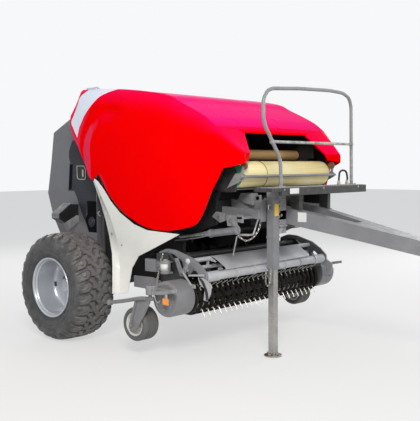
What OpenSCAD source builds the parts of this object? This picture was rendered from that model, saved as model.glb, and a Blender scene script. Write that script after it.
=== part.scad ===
// Round baler, a towed farm machine: pickup, bale chamber with lifting tailgate, side hoods and drawbar.
// X runs forward along the drawbar, Y to the machine's left and Z up. The origin lies on the ground
// below the middle of the whole machine. The baler stands as it is parked, on its jack.

/* [Overall] */
// Distance from the axle back to the tailgate's rear face
rear_overhang = 889; // [700:10:1200]
// Distance from the axle forward to the front of the towing eye
front_reach = 3350; // [2800:10:3800]
// Width inside the bale chamber
chamber_w = 1230; // [1100:10:1300]
// Inner radius of the bale chamber
chamber_r = 750; // [600:5:800]
// Height of the bale chamber's centre
chamber_z = 1420; // [1200:5:1600]
// Thickness of the curved chamber wall
chamber_wall_t = 30; // [10:1:50]
// Thickness of the frame's side plates
plate_t = 30; // [10:1:40]

/* [Wheels] */
// Outer diameter of the main tyres over the lugs
tyre_d = 1000; // [900:10:1300]
// Width of the main tyres
tyre_w = 440; // [350:10:600]
// Distance from the machine's middle to the middle of a main tyre
track_half = 1120; // [900:5:1300]
// Diameter of the main rims at the bead seat
rim_d = 534; // [450:2:700]
// Radius of the axle's stub
stub_r = 45; // [30:1:60]
// Outer diameter of the gauge wheels
gauge_d = 290; // [200:5:450]
// Width of the gauge wheels
gauge_w = 170; // [90:5:200]

/* [Hood and roof] */
// Height of the roof's rear edge
roof_z = 2370; // [2100:5:2600]
// Half the width of the hinge line between roof and side hoods
hinge_y = 800; // [700:5:900]
// Greatest half width over the side hoods
hood_y = 920; // [850:5:1000]
// Whole thickness of the hoods and the roof
skin_t = 28; // [10:1:40]

/* [Pickup] */
// Half the width of the tined part
pickup_half = 900; // [800:10:1050]
// Radius of the circle of the tine tips
tine_r = 200; // [160:5:260]
// Tines on each bar
tines_per_bar = 24; // [6:1:32]
// Number of tine bars
tine_bars = 4; // [3:1:6]

/* [Drawbar and jack] */
// Bore radius of the towing eye
eye_bore_r = 25; // [15:0.5:40]
// Radius of the drive input shaft
input_r = 17.45; // [15:0.05:25]
// Travel of the jack leg
jack_travel = 550; // [300:10:700]

/* [Hidden] */
$fn = 64;
seat = 0.3;
axle_x = (rear_overhang - front_reach) / 2;
axle_z = tyre_d / 2;
half_in = chamber_w / 2;
half_out = half_in + plate_t;
wall_r = chamber_r + chamber_wall_t;
gate_x = -20;
gate_z = roof_z - 150;
cover_y = half_out + 55;
shield_y = hood_y - 2;
shield_t = 9.7;
roof_half = hinge_y - 10;
pivot_x = 750;
pivot_z = 750;
rotor_x = 880;
rotor_z = 720;
reel_x = 1360;
reel_z = 490;
guard_x = 1050;
guard_z = 830;
jack_x = 1905;
jack_y = -400;
jack_w = 76;
roller_x = 1545;
roller_z = 690;
drum_x = 1361;
drum_z = 522;
drum_r = 150;
jack_top = 1425;
hinge_axis_y = hinge_y - 3;
hinge_axis_z = roof_z + 8;
hinge_r = 7;
band_pitch = (2 * pickup_half - 100) / tines_per_bar;
roll_x = 1667;
roll_z = 1545;
roll_r = 115;
upper_x = 1400;
upper_z = 1718;
front_x = 1604;
front_z = roll_z + 410;
bar_x = 1806;
bar_z = 1531;
castor_x = 1235;
castor_y = 1195;
gauge_x = 1040;
gauge_y = 1125;
gauge_z = 280;
band_r = 146;
rail_x = 2000;

hood_red = [0.72, 0.03, 0.09];
gate_grey = [0.30, 0.31, 0.33];
dark = [0.10, 0.10, 0.11];
frame_grey = [0.42, 0.43, 0.45];
shield_white = [0.86, 0.85, 0.82];
silver = [0.70, 0.71, 0.72];
rubber_grey = [0.12, 0.11, 0.10];
cream = [0.85, 0.78, 0.55];

// Top line of the roof and hoods: x from the axle, share of the rise from the front edge to the rear edge
top_line = [[-120, 1], [140, 0.976], [570, 0.884], [1030, 0.708], [1200, 0.53], [1350, 0.369],
    [1500, 0.186], [front_x, 0]];
// Stations of the side hood: x, top, bottom, inset of the top edge from the hinge line, inset of the belly
// from the greatest half width
hood_x = 0;
hood_top = 1;
hood_bottom = 2;
hood_in = 3;
hood_out = 4;
hood_rows = [
    [-262, roof_z - 234, roof_z - 274, 0, 75], [-190, roof_z - 120, roof_z - 385, 0, 52],
    [-120, zroof(-120), roof_z - 490, 0, 30], [-30, zroof(-30), roof_z - 633, 0, 17],
    [60, zroof(60), 1592, 0, 6], [130, zroof(130), 1492, 0, 0], [180, zroof(180), 1524, 0, 0],
    [222, zroof(222), 1552, 0, 0], [290, zroof(290), 1476, 0, 0], [380, zroof(380), 1360, 0, 0],
    [546, zroof(546), 1223, 0, 0], [749, zroof(749), 1122, 0, 0], [945, zroof(945), 1069, 0, 0],
    [1134, zroof(1134), 1062, 0, 5], [1316, zroof(1316), 1089, 0, 15], [1469, zroof(1469), 1138, 0, 32],
    [1550, zroof(1550), 1270, 0, 48], [front_x, front_z, 1400, 0, 61], [1692, front_z - 83, 1602, 28, 120],
    [1780, front_z - 161, 1618, 64, 160], [1859, front_z - 231, 1644, 100, 208]];
// Front face of the nose, from its outer edge inward and from the top down: x, inset from the hinge line,
// drop below the roof's front edge
nose_rows = [
    [[1619, -6, 17], [1738, 38, 125], [1856, 92, 237], [1845, 96, 307]],
    [[1625, 240, 24], [1724, 173, 133], [1822, 170, 235], [1822, 150, 302]],
    [[1636, 350, 55], [1711, 296, 142], [1788, 242, 232], [1802, 202, 293]]];
// Cross-section of the side hood: share of the height, share of the bulge, inward and downward offset
row_h = 0;
row_y = 1;
row_in = 2;
row_down = 3;
section_rows = [[0, 0, 0, 1], [0.012, 0.28, 0.3, 0.95], [0.03, 0.5, 0.65, 0.7], [0.08, 0.72, 0.9, 0.4],
    [0.2, 0.88, 1, 0.15], [0.45, 0.97, 1, 0], [0.68, 1, 1, 0], [0.88, 0.97, 1, 0], [1, 0.9, 1, 0]];
// Rows of the lower shield: height, then x and offset from its plane of the left edge, the fold and the right edge
shield_rows = [
    [1505, 166, -10, 176, 0, 186, 0], [1480, 132, -14, 180, 0, 232, 0],
    [1400, 163, -18, 240, 0, 320, 0], [1300, 206, -20, 305, 0, 411, 0],
    [1200, 249, -20, 375, 0, 535, 0], [1100, 292, -20, 430, 0, 730, 0],
    [1055, 312, -18, 450, 0, 905, 0], [1042, 320, -17, 455, 0, 1308, 0],
    [985, 350, -13, 480, 0, 1180, 0], [900, 400, -3, 505, 0, 985, 0],
    [817, 455, 27, 530, 7, 788, 0], [701, 530, 87, 565, 32, 706, 7],
    [468, 560, 117, 600, 67, 661, 22]];

function lerp(a, b, t) = a + (b - a) * t;
function pick(L, c) = [for (a = L) [a[0], a[c]]];
function zroof(x) = lerp(front_z, roof_z, lookup(x, top_line));
function flat(L) = [for (a = L) for (b = a) b];
function arc_points(r, a0, a1, n) = [for (i = [0:n]) let (a = lerp(a0, a1, i / n)) [r * cos(a), r * sin(a)]];
function unit(v) = v / norm(v);
function bar_y(x) = lerp(265, 60, (x - 1860) / 1290);

// Plate in the XZ plane between two half widths
module slab(y0, y1, pts) {
    translate([0, y1, 0]) rotate([90, 0, 0]) linear_extrude(y1 - y0) polygon(pts);
}
// Shape drawn in the XZ plane, extruded between two half widths
module along_y(y0, y1) {
    translate([0, y1, 0]) rotate([90, 0, 0]) linear_extrude(y1 - y0) children();
}
// Round bar along Y
module rod_y(x, z, r, y0, y1) {
    translate([x, y1, z]) rotate([90, 0, 0]) cylinder(r = r, h = y1 - y0);
}
module block(x0, x1, y0, y1, z0, z1) {
    translate([x0, y0, z0]) cube([x1 - x0, y1 - y0, z1 - z0]);
}
// Left-side shape as drawn, or mirrored to the right side
module on_side(s) {
    if (s > 0) children();
    else mirror([0, 1, 0]) children();
}
module both_sides() {
    children();
    mirror([0, 1, 0]) children();
}
// Profile of radius and width turned about an axis along Y
module turned_y(x, y, z) {
    translate([x, y, z]) rotate([-90, 0, 0]) rotate_extrude() children();
}
// Part of a ring in the XZ plane
module ring_sector(r0, r1, a0, a1) {
    n = ceil(abs(a1 - a0) / 6);
    polygon(concat(arc_points(r1, a0, a1, n), arc_points(r0, a1, a0, n)));
}
// Closed sheet between a grid of outer points and a grid of inner points
module panel(P, Q) {
    n = len(P);
    m = len(P[0]);
    s = n * m;
    polyhedron(points = concat(flat(P), flat(Q)), faces = concat(
        flat([for (i = [0:n - 2], j = [0:m - 2]) [
            [i * m + j, i * m + j + 1, (i + 1) * m + j + 1], [i * m + j, (i + 1) * m + j + 1, (i + 1) * m + j],
            [s + i * m + j, s + (i + 1) * m + j + 1, s + i * m + j + 1],
            [s + i * m + j, s + (i + 1) * m + j, s + (i + 1) * m + j + 1]]]),
        flat([for (i = [0:n - 2]) [
            [i * m, (i + 1) * m, s + (i + 1) * m], [i * m, s + (i + 1) * m, s + i * m],
            [(i + 1) * m + m - 1, i * m + m - 1, s + i * m + m - 1],
            [(i + 1) * m + m - 1, s + i * m + m - 1, s + (i + 1) * m + m - 1]]]),
        flat([for (j = [0:m - 2]) [
            [j + 1, j, s + j], [j + 1, s + j, s + j + 1],
            [(n - 1) * m + j, (n - 1) * m + j + 1, s + (n - 1) * m + j + 1],
            [(n - 1) * m + j, s + (n - 1) * m + j + 1, s + (n - 1) * m + j]]])), convexity = 6);
}
// Directions along a path, and the rings of a mitred tube
function seg_dir(P, i) = unit(P[i + 1] - P[i]);
function mitre(P, i) = i == 0 ? seg_dir(P, 0) : i == len(P) - 1 ? seg_dir(P, i - 1)
    : unit(seg_dir(P, i - 1) + seg_dir(P, i));
function side_of(d) = unit(abs(d[2]) < 0.9 ? cross(d, [0, 0, 1]) : cross(d, [1, 0, 0]));
function first_ring(P, r, n) = let (d = seg_dir(P, 0), u = side_of(d), v = cross(d, u))
    [for (k = [0:n - 1]) P[0] + r * (u * cos(360 * (k + 0.5) / n) + v * sin(360 * (k + 0.5) / n))];
function next_ring(P, i, ring) = let (d = seg_dir(P, i - 1), m = mitre(P, i))
    [for (p = ring) p + d * (((P[i] - p) * m) / (d * m))];
function rings(P, r, n, i) = i == 0 ? [first_ring(P, r, n)]
    : let (before = rings(P, r, n, i - 1)) concat(before, [next_ring(P, i, before[i - 1])]);
// Bent tube along a path
module tube(P, r, n = 10) {
    k = len(P);
    polyhedron(points = flat(rings(P, r, n, k - 1)), faces = concat(
        [[for (j = [0:n - 1]) j]], [[for (j = [n - 1:-1:0]) (k - 1) * n + j]],
        [for (i = [0:k - 2], j = [0:n - 1])
            [i * n + (j + 1) % n, i * n + j, (i + 1) * n + j, (i + 1) * n + (j + 1) % n]]), convexity = 6);
}

// ---- Chassis ----
side_outline = concat([[-150, axle_z + 60 + seat], [-150, axle_z + 122], [0, axle_z + 140], [0, gate_z - 55],
    [-35, gate_z - 30], [-52, gate_z - 5], [-45, gate_z + 25], [-15, gate_z + 52], [0, zroof(0) - skin_t - seat]],
    [for (x = [140, 570, 1030, 1200, 1350, 1500, 1585]) [x, zroof(x) - skin_t - seat]],
    [[1600, roll_z + 145], [1530, roll_z + 135], [1530, roll_z - roll_r], [1480, 1330], [1480, 1120],
    [1300, 1060], [1085, 930]],
    [for (a = [0:-15:-90]) [pivot_x + 335 * cos(a), pivot_z + 335 * sin(a)]],
    [[560, 470], [400, axle_z + 60 + seat]]);

module main_frame() {
    color(dark) {
        both_sides() difference() {
            union() {
                slab(half_in, half_out, side_outline);
                rod_y(gate_x, gate_z, 25, half_out - 5, cover_y);
                rod_y(pivot_x, pivot_z, 45, half_out - 5, cover_y);
                rod_y(520, 1120, 20, half_out - 5, shield_y - 10);
                rod_y(1100, 1010, 14, half_out - 5, shield_y - 10);
            }
            rod_y(rotor_x, rotor_z, 30 + seat, half_in - 5, half_out + 5);
            rod_y(upper_x, upper_z, 15 + seat, half_in - 5, half_out + 5);
        }
        block(1350, 1450, -half_in - 5, half_in + 5, 1150, 1320);
        rod_y(1250, 2050, 35, -half_in - 5, half_in + 5);
        rod_y(1020, 1000, 30, -half_in - 5, half_in + 5);
        translate([rotor_x, 0, rotor_z]) along_y(-half_in - 5, half_in + 5) ring_sector(215, 235, -130, -60);
    }
}
module axle() {
    color(dark) {
        block(-60, 60, -780, 780, axle_z - 60, axle_z + 60);
        both_sides() rod_y(0, axle_z, stub_r, 770, track_half + 20);
    }
}
module chamber_wall() {
    color(dark) translate([0, 0, chamber_z]) along_y(-half_in + seat, half_in - seat) {
        ring_sector(chamber_r, wall_r, -38, 90);
        ring_sector(chamber_r, wall_r, -96, -66);
    }
}
roof_xs = [-80, 140, 570, 1030, 1200, 1350, 1500, front_x];
module roof() {
    color(hood_red) {
        both_sides() for (x = [-60, 82]) {
            block(x, x + 20, hinge_y - 30, hinge_y - 6, roof_z - 20, hinge_axis_z);
            translate([x, hinge_axis_y, hinge_axis_z]) rotate([0, 90, 0]) cylinder(r = hinge_r, h = 20);
        }
        both_sides() translate([-60, hinge_axis_y, hinge_axis_z]) rotate([0, 90, 0]) cylinder(r = 4, h = 162);
        slab(-roof_half, roof_half, concat([for (x = roof_xs) [x, zroof(x)]],
            [for (i = [len(roof_xs) - 1:-1:0]) [roof_xs[i], zroof(roof_xs[i]) - skin_t]]));
        slab(-hinge_y + 360, hinge_y - 360, [[front_x - 10, front_z], [front_x, front_z], [front_x + 26, front_z - 50],
            [front_x + 14, front_z - 54], [front_x - 14, front_z - 12]]);
    }
}
module net_tray() {
    color(dark) both_sides() difference() {
        slab(half_out + seat, half_out + 15, [[1440, roll_z - 125], [1440, roll_z + 55], [1530, roll_z + 92],
            [1680, roll_z + 75], [1716, roll_z + 30], [1716, roll_z - 142], [1620, roll_z - 150]]);
        rod_y(roll_x, roll_z, 20 + seat, half_out - 5, half_out + 30);
    }
    color(frame_grey) {
        translate([roll_x, 0, roll_z]) along_y(-half_out - seat - 5, half_out + seat + 5)
            ring_sector(roll_r + 15, roll_r + 27, 200, 290);
        rod_y(bar_x, bar_z, 12, -half_out - 55, half_out + 55);
        both_sides() slab(half_out + 14, half_out + 23, [[1620, roll_z - 115], [1715, roll_z + 10], [bar_x - 10, roll_z + 15],
            [bar_x + 18, bar_z + 14], [bar_x + 18, bar_z - 16], [1740, roll_z - 70]]);
    }
}
module net_roll() {
    color(cream) {
        rod_y(roll_x, roll_z, roll_r, -half_in - 28, half_in + 28);
        rod_y(roll_x, roll_z, 20, -half_out - 12, half_out + 12);
    }
}
module net_roller() {
    color([0.35, 0.20, 0.10]) {
        rod_y(upper_x, upper_z, 48, -half_in + 6, half_in - 6);
        rod_y(upper_x, upper_z, 15, -half_out + 5, half_out - 5);
    }
}
module drawbar() {
    color(frame_grey) intersection() {
        slab(-500, 500, [[1450 + seat, 1330], [1700, 1272], [1860, 1275], [2530, 1140], [3150, 1020], [3150, 900],
            [2530, 1015], [1860, 1135], [1740, 1150], [1450 + seat, 1200]]);
        linear_extrude(3000) difference() {
            polygon([[1400, 430], [1860, 265], [3150, 60], [3150, -60], [1860, -265], [1400, -430]]);
            polygon([[1400, 290], [1860, 175], [2500, 50], [2500, -50], [1860, -175], [1400, -290]]);
        }
    }
}
module tow_eye() {
    color(silver) difference() {
        union() {
            block(3150 + seat, 3240, -45, 45, 930, 990);
            translate([3285, 0, 930]) cylinder(r = 65, h = 60);
        }
        translate([3285, 0, 900]) cylinder(r = eye_bore_r, h = 120);
    }
}
module jack_outer() {
    color(frame_grey) difference() {
        union() {
            block(jack_x - jack_w / 2, jack_x + jack_w / 2, jack_y - jack_w / 2, jack_y + jack_w / 2, 740, jack_top);
            block(jack_x + 26, jack_x + 36, jack_y + jack_w / 2 - 1, -bar_y(jack_x) - 5, 1045, 1360);
            translate([0, 0, 1160]) linear_extrude(80) polygon([[jack_x - 36, jack_y + 36], [jack_x + 36, jack_y + 36],
                [jack_x + 36, -bar_y(jack_x + 36) - seat], [jack_x - 36, -bar_y(jack_x - 36) - seat]]);
        }
        block(jack_x - 30, jack_x + 30, jack_y - 30, jack_y + 30, 700, jack_top - 15);
    }
}
module jack_leg() {
    color(silver) {
        block(jack_x - 30 + seat, jack_x + 30 - seat, jack_y - 30 + seat, jack_y + 30 - seat, 10,
            jack_top - 35 - jack_travel);
        translate([jack_x, jack_y, 0]) cylinder(r = 78, h = 14);
    }
}
// Path of the handrail across the machine: side and height
rail_path = [[-418, 1440 + seat], [-418, 1665], [-650, 1969], [-650, 2150], [-600, 2220], [-535, 2246],
    [-146, 2272], [312, 2287], [527, 2279], [629, 2241], [665, 2170], [678, 1440 + seat]];
module handrail() {
    color(silver) {
        tube([for (p = rail_path) [rail_x, p[0], p[1]]], 15.5);
        rod_y(rail_x, 1814, 12, -532, 668);
    }
}
module platform() {
    color(dark) {
        block(1960, 2145, -725, 700, 1405, 1440);
        block(2105, 2145, -590, 700, 1374, 1407);
        both_sides() slab(190, 235, [[1970, 1406], [2060, 1406],
            [2060, lerp(1275, 1140, 200 / 670) + seat], [1970, lerp(1275, 1140, 110 / 670) + seat]]);
    }
}
module gearbox() {
    color(dark) {
        block(1450 + seat, 1790, -140, 140, 1070, 1360);
        translate([1780, 0, 1290]) rotate([0, 90, 0]) cylinder(r = 60, h = 40);
        translate([1780, 0, 1290]) rotate([0, 90, 0]) cylinder(r = input_r, h = 130);
    }
}
module shield(s) {
    color(shield_white) on_side(s) {
        cols = [[1, 2], [3, 4], [5, 6]];
        P = [for (k = [len(shield_rows) - 1:-1:0]) let (r = shield_rows[k])
            [for (c = cols) [r[c[0]], shield_y + r[c[1]], r[0]]]];
        panel(P, [for (row = P) [for (p = row) p - [0, shield_t, 0]]]);
    }
}

// ---- Main wheels ----
module rim(s) {
    bead = rim_d / 2;
    w = tyre_w / 2;
    color(silver) on_side(s) turned_y(0, track_half, axle_z) {
        polygon([[bead, 45 - w], [bead, w - 45], [bead + 14, w - 38], [bead + 14, w - 28], [bead - 14, w - 28],
            [bead - 16, 60], [bead - 51, -10], [150, -30], [110, -50], [stub_r + seat, -50], [stub_r + seat, -80],
            [120, -80], [bead - 41, -40], [bead - 18, -60], [bead - 16, 28 - w], [bead + 14, 28 - w],
            [bead + 14, 38 - w]]);
    }
}
// Half profile of the tyre: drop from the tread, inset from the side
tyre_side = [[95, 0], [55, 12], [26, 36], [8, 72], [0, 120]];
module tyre(s) {
    bead = rim_d / 2 + seat;
    r = tyre_d / 2;
    w = tyre_w / 2;
    half = concat([[bead, w - 50], [bead + 28.7, w - 25], [bead + 54, w - 12], [lerp(bead, r, 0.4), w - 3]],
        [for (p = tyre_side) [r - p[0], w - p[1]]]);
    color(rubber_grey) on_side(s) turned_y(0, track_half, axle_z)
        polygon(concat([for (p = half) [p[0], -p[1]]], [for (i = [len(half) - 1:-1:0]) half[i]]));
}

// ---- Tailgate ----
gate_outline = [[gate_x - 5, 668], [gate_x - 5, gate_z - 90], [-110, gate_z - 55], [-454, gate_z - 96],
    [-762, gate_z - 235], [-817, 1656],
    [-889, 1344], [-800, 1100], [-640, 850], [-420, 690], [-200, 650]];
module tailgate_shell() {
    color(gate_grey) {
        translate([0, 0, chamber_z]) along_y(-half_in - 5, half_in + 5) ring_sector(chamber_r, wall_r, 95, 262);
        both_sides() difference() {
            slab(half_in, half_out, gate_outline);
            rod_y(gate_x, gate_z, 80, half_in - 5, half_out + 5);
        }
        slab(-half_out + 5, half_out - 5, [[-454, gate_z - 100], [-758, gate_z - 237], [-813, 1656], [-885, 1344], [-796, 1100],
            [-760, 1115], [-850, 1350], [-788, 1650], [-735, gate_z - 255], [-440, gate_z - 125]]);
    }
}
module tailgate_cover(s) {
    color(gate_grey) on_side(s) difference() {
        union() {
            slab(half_out + seat, cover_y, [[-60, 720], [-45, gate_z - 120], [-454, gate_z - 110],
                [-750, gate_z - 245], [-805, 1650], [-870, 1345], [-785, 1110], [-630, 870], [-420, 715]]);
            slab(half_out + 5, cover_y - 10, [[-45, gate_z - 170], [-70, gate_z - 20], [-60, gate_z + 42],
                [20, gate_z + 42], [25, gate_z - 30], [-20, gate_z - 170]]);
        }
        rod_y(gate_x, gate_z, 25 + seat, half_out - 5, cover_y + 10);
    }
}
module lamp(s) {
    color(dark) on_side(s) translate([-480, 0, 0]) rotate([90, 0, 90]) linear_extrude(130)
        polygon([[cover_y + seat, 1075], [cover_y + seat, 1238], [hood_y - 120, 1245], [hood_y + 20, 1150],
            [hood_y + 20, 1105], [hood_y - 70, 1050]]);
}

// ---- Side hoods ----
function hood_point(r, s, k) = [r[hood_x],
    lerp(hinge_y - r[hood_in], hood_y - r[hood_out], s[row_y]) - k * skin_t * s[row_in],
    lerp(r[hood_top], r[hood_bottom], s[row_h])
        - k * min(skin_t, (r[hood_top] - r[hood_bottom]) * 0.2) * s[row_down]];
module side_hood(s) {
    color(hood_red) on_side(s) {
        panel([for (r = hood_rows) [for (t = section_rows) hood_point(r, t, 0)]],
            [for (r = hood_rows) [for (t = section_rows) hood_point(r, t, 1)]]);
        panel([for (r = nose_rows) [for (p = r) [p[0], hinge_y - p[1], front_z - p[2]]]],
            [for (r = nose_rows) [for (p = r) [p[0] - 9, hinge_y - p[1], front_z - p[2] - 5]]]);
        difference() {
            union() {
                translate([-38, hinge_axis_y, hinge_axis_z]) rotate([0, 90, 0]) cylinder(r = hinge_r, h = 118);
                block(-38, 80, hinge_y + 1, hinge_y + 9, roof_z - 20, hinge_axis_z);
            }
            translate([-50, hinge_axis_y, hinge_axis_z]) rotate([0, 90, 0]) cylinder(r = 4 + seat, h = 150);
        }
    }
}

// ---- Pickup ----
module pickup_frame() {
    color(dark) {
        rod_y(1140, 820, 30, -pickup_half - 5, pickup_half + 5);
        both_sides() {
            difference() {
                union() {
                    slab(pickup_half, pickup_half + 20, [[1090, 300], [1080, 870], [1180, 870], [1380, 700],
                        [1420, 560], [1420, 420], [1380, 300]]);
                    rod_y(guard_x, guard_z, 20, 870, pickup_half + 10);
                    slab(pickup_half, pickup_half + 20, [[1020, 800], [1020, 860], [1100, 870], [1100, 790]]);
                }
                rod_y(reel_x, reel_z, 30 + seat, pickup_half - 5, pickup_half + 30);
            }
            difference() {
                slab(half_out + 5, half_out + 45, [[690, 690], [690, 810], [1170, 858], [1170, 780], [1000, 770], [810, 690]]);
                rod_y(pivot_x, pivot_z, 45 + seat, half_out, cover_y);
            }
        }
    }
}
module pickup_bands() {
    color(dark) {
        for (i = [0:tines_per_bar]) let (y = -pickup_half + 50 + band_pitch * i)
            translate([reel_x, 0, reel_z]) along_y(y - 20, y + 20) difference() {
                union() {
                    circle(band_r);
                    translate([-260, -band_r]) square([260, 2 * band_r]);
                }
                circle(band_r - 8);
                translate([-270, 8 - band_r]) square([270, 2 * band_r - 16]);
            }
        block(reel_x - 285, reel_x - 245, -pickup_half + seat, pickup_half - seat, reel_z + band_r - 22, reel_z + band_r);
        block(reel_x - 285, reel_x - 245, -pickup_half + seat, pickup_half - seat, reel_z - band_r, reel_z - band_r + 22);
    }
}
module side_drum(s) {
    color(frame_grey) on_side(s) {
        turned_y(drum_x, 0, drum_z) polygon([[0, pickup_half + 35], [drum_r - 10, pickup_half + 35],
            [drum_r, pickup_half + 45], [drum_r, 1128], [drum_r - 6, 1142], [drum_r - 20, 1149], [0, 1150]]);
        rod_y(drum_x, drum_z, 60, pickup_half + 20 + seat, pickup_half + 40);
        difference() {
            union() {
                block(1235, 1470, 1145, 1190, 585, 612);
                block(castor_x - 40, castor_x + 45, castor_y - 42, castor_y + 38, 555, 632);
            }
            translate([castor_x, castor_y, 500]) cylinder(r = 15 + seat, h = 180);
        }
    }
}
module tine_reel() {
    color(silver) {
        rod_y(reel_x, reel_z, 30, -pickup_half - 18, pickup_half + 18);
        translate([reel_x, 0, reel_z]) {
            both_sides() along_y(pickup_half - 16, pickup_half - 6) circle(130);
            for (b = [0:tine_bars - 1]) rotate([0, 45 + 360 * b / tine_bars, 0]) {
                translate([115, pickup_half - 10, 0]) rotate([90, 0, 0]) cylinder(r = 11, h = 2 * pickup_half - 20);
                for (i = [0:tines_per_bar - 1]) let (y = -pickup_half + 50 + band_pitch * (i + 0.5))
                        translate([115, y - 4, -4]) cube([tine_r - 115, 8, 8]);
            }
        }
    }
}
module wind_guard() {
    color(dark) {
        both_sides() difference() {
            slab(870, 890, [[1020, 800], [1020, 870], [1120, 905], [1230, 900], [1420, 848], [1520, 790],
                [roller_x + 45, roller_z + 40], [roller_x + 45, roller_z - 35], [roller_x - 20, roller_z - 35],
                [roller_x - 45, roller_z + 25], [1440, 765], [1400, 705], [1330, 705], [1310, 810], [1200, 865],
                [1110, 862], [1075, 800]]);
            rod_y(guard_x, guard_z, 20 + seat, 860, 900);
            rod_y(roller_x, roller_z, 15 + seat, 860, 900);
        }
        rod_y(1380, 815, 20, -884, 884);
        rod_y(1360, 742, 18, -884, 884);
        slab(-620, 620, [[1384, 828], [1394, 835], [1548, 762], [1568, 738], [1560, 733], [1542, 754]]);
    }
}
module press_roller() {
    color(frame_grey) {
        rod_y(roller_x, roller_z, 38, -864, 864);
        rod_y(roller_x, roller_z, 15, -888, 888);
    }
}
module castor(s) {
    color(frame_grey) on_side(s) {
        translate([castor_x, castor_y, 510]) cylinder(r = 15, h = 132);
        block(1205, 1265, 1170, 1236, 505, 535.7);
        slab(1218, 1234, [[1005, 262], [1095, 520], [1150, 535.7], [1262, 535.7], [1265, 500], [1120, 270], [1085, 245], [1030, 240]]);
        rod_y(gauge_x, gauge_z, 15, gauge_y - 75, 1225);
        slab(1234, 1248, [[1255, 530], [1225, 545], [1130, 541], [765, 461], [742, 447], [746, 428], [770, 422], [1150, 501]]);
    }
}
module gauge_rim(s) {
    color(shield_white) on_side(s) turned_y(gauge_x, gauge_y, gauge_z)
        polygon([[15 + seat, -80], [40, -80], [40, -20], [80, -20], [80, 10 - gauge_w / 2], [95, 10 - gauge_w / 2],
            [95, gauge_w / 2 - 10], [80, gauge_w / 2 - 10], [80, 20], [40, 20], [40, 80], [15 + seat, 80]]);
}
module gauge_tyre(s) {
    color(rubber_grey) on_side(s) turned_y(gauge_x, gauge_y, gauge_z)
        polygon([[95 + seat, 10 - gauge_w / 2], [108, 3 - gauge_w / 2], [122, -gauge_w / 2], [gauge_d / 2 - 8, 8 - gauge_w / 2],
            [gauge_d / 2, 22 - gauge_w / 2], [gauge_d / 2, gauge_w / 2 - 22], [gauge_d / 2 - 8, gauge_w / 2 - 8],
            [122, gauge_w / 2], [108, gauge_w / 2 - 3], [95 + seat, gauge_w / 2 - 10]]);
}

// ---- Feed rotor ----
module rotor() {
    color(frame_grey) {
        rod_y(rotor_x, rotor_z, 90, -half_in + 10, half_in - 10);
        rod_y(rotor_x, rotor_z, 30, -half_out + 3, half_out - 3);
        for (i = [0:7]) let (y = lerp(-540, 540, i / 7)) translate([rotor_x, 0, rotor_z])
            along_y(y - 6, y + 6) polygon([for (k = [0:7]) let (r = k % 2 == 0 ? 190 : 95)
                [r * cos(45 * k + 12 * i), r * sin(45 * k + 12 * i)]]);
    }
}

module placed() {
    translate([axle_x, 0, 0]) children();
}
placed() main_frame();
placed() axle();
placed() chamber_wall();
placed() roof();
placed() net_tray();
placed() net_roll();
placed() net_roller();
placed() drawbar();
placed() tow_eye();
placed() jack_outer();
placed() jack_leg();
placed() handrail();
placed() platform();
placed() gearbox();
placed() shield(-1);  // shield_r
placed() shield(1);  // shield_l
placed() rim(-1);  // rim_r
placed() rim(1);  // rim_l
placed() tyre(-1);  // tyre_r
placed() tyre(1);  // tyre_l
placed() tailgate_shell();
placed() tailgate_cover(-1);  // tailgate_cover_r
placed() tailgate_cover(1);  // tailgate_cover_l
placed() lamp(-1);  // lamp_r
placed() lamp(1);  // lamp_l
placed() side_hood(-1);  // side_hood_r
placed() side_hood(1);  // side_hood_l
placed() pickup_frame();
placed() pickup_bands();
placed() side_drum(-1);  // side_drum_r
placed() side_drum(1);  // side_drum_l
placed() tine_reel();
placed() wind_guard();
placed() press_roller();
placed() castor(-1);  // castor_r
placed() castor(1);  // castor_l
placed() gauge_rim(-1);  // gauge_rim_r
placed() gauge_rim(1);  // gauge_rim_l
placed() gauge_tyre(-1);  // gauge_tyre_r
placed() gauge_tyre(1);  // gauge_tyre_l
placed() rotor();
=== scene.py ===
"""Looks of a towed round baler: hoods, tailgate, wheels, pickup, net rolls, drawbar and jack.

Sizes are millimetres from the wheel axle forward (X), from the middle to the left (Y) and up from
the ground (Z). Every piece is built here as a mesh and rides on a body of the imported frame.
"""
import logging
import math
from dataclasses import dataclass
from enum import Enum
from typing import Callable, Iterable, Sequence

import bmesh
import bpy
from mathutils import Matrix, Vector, noise


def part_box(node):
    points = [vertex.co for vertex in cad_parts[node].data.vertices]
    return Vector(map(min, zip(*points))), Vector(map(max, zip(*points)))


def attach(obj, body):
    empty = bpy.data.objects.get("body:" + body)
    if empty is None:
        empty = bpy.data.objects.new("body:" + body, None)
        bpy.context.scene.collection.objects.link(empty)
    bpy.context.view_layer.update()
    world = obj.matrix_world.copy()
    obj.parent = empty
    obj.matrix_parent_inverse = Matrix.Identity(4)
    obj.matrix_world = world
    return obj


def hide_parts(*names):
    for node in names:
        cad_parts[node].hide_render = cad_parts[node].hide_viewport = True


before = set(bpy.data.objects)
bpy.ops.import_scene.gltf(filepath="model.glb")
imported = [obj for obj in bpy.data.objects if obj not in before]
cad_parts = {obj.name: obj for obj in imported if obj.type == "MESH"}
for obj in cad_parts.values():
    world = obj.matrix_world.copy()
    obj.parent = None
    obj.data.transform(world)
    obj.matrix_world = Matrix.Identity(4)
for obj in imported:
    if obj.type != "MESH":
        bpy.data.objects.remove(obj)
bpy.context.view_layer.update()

AXLE_X = sum(corner.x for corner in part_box("axle")) / 2
MM = 0.001
LOG = logging.getLogger("round_baler")

Point = tuple[float, float, float]
Flat = tuple[float, float]
Colour = tuple[float, float, float]


class Side(Enum):
    """The two sides of the machine, seen in driving direction."""

    LEFT = 1
    RIGHT = -1

    @property
    def tag(self) -> str:
        """Letter that ends the names of this side's nodes and bodies."""
        return "l" if self is Side.LEFT else "r"


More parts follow.
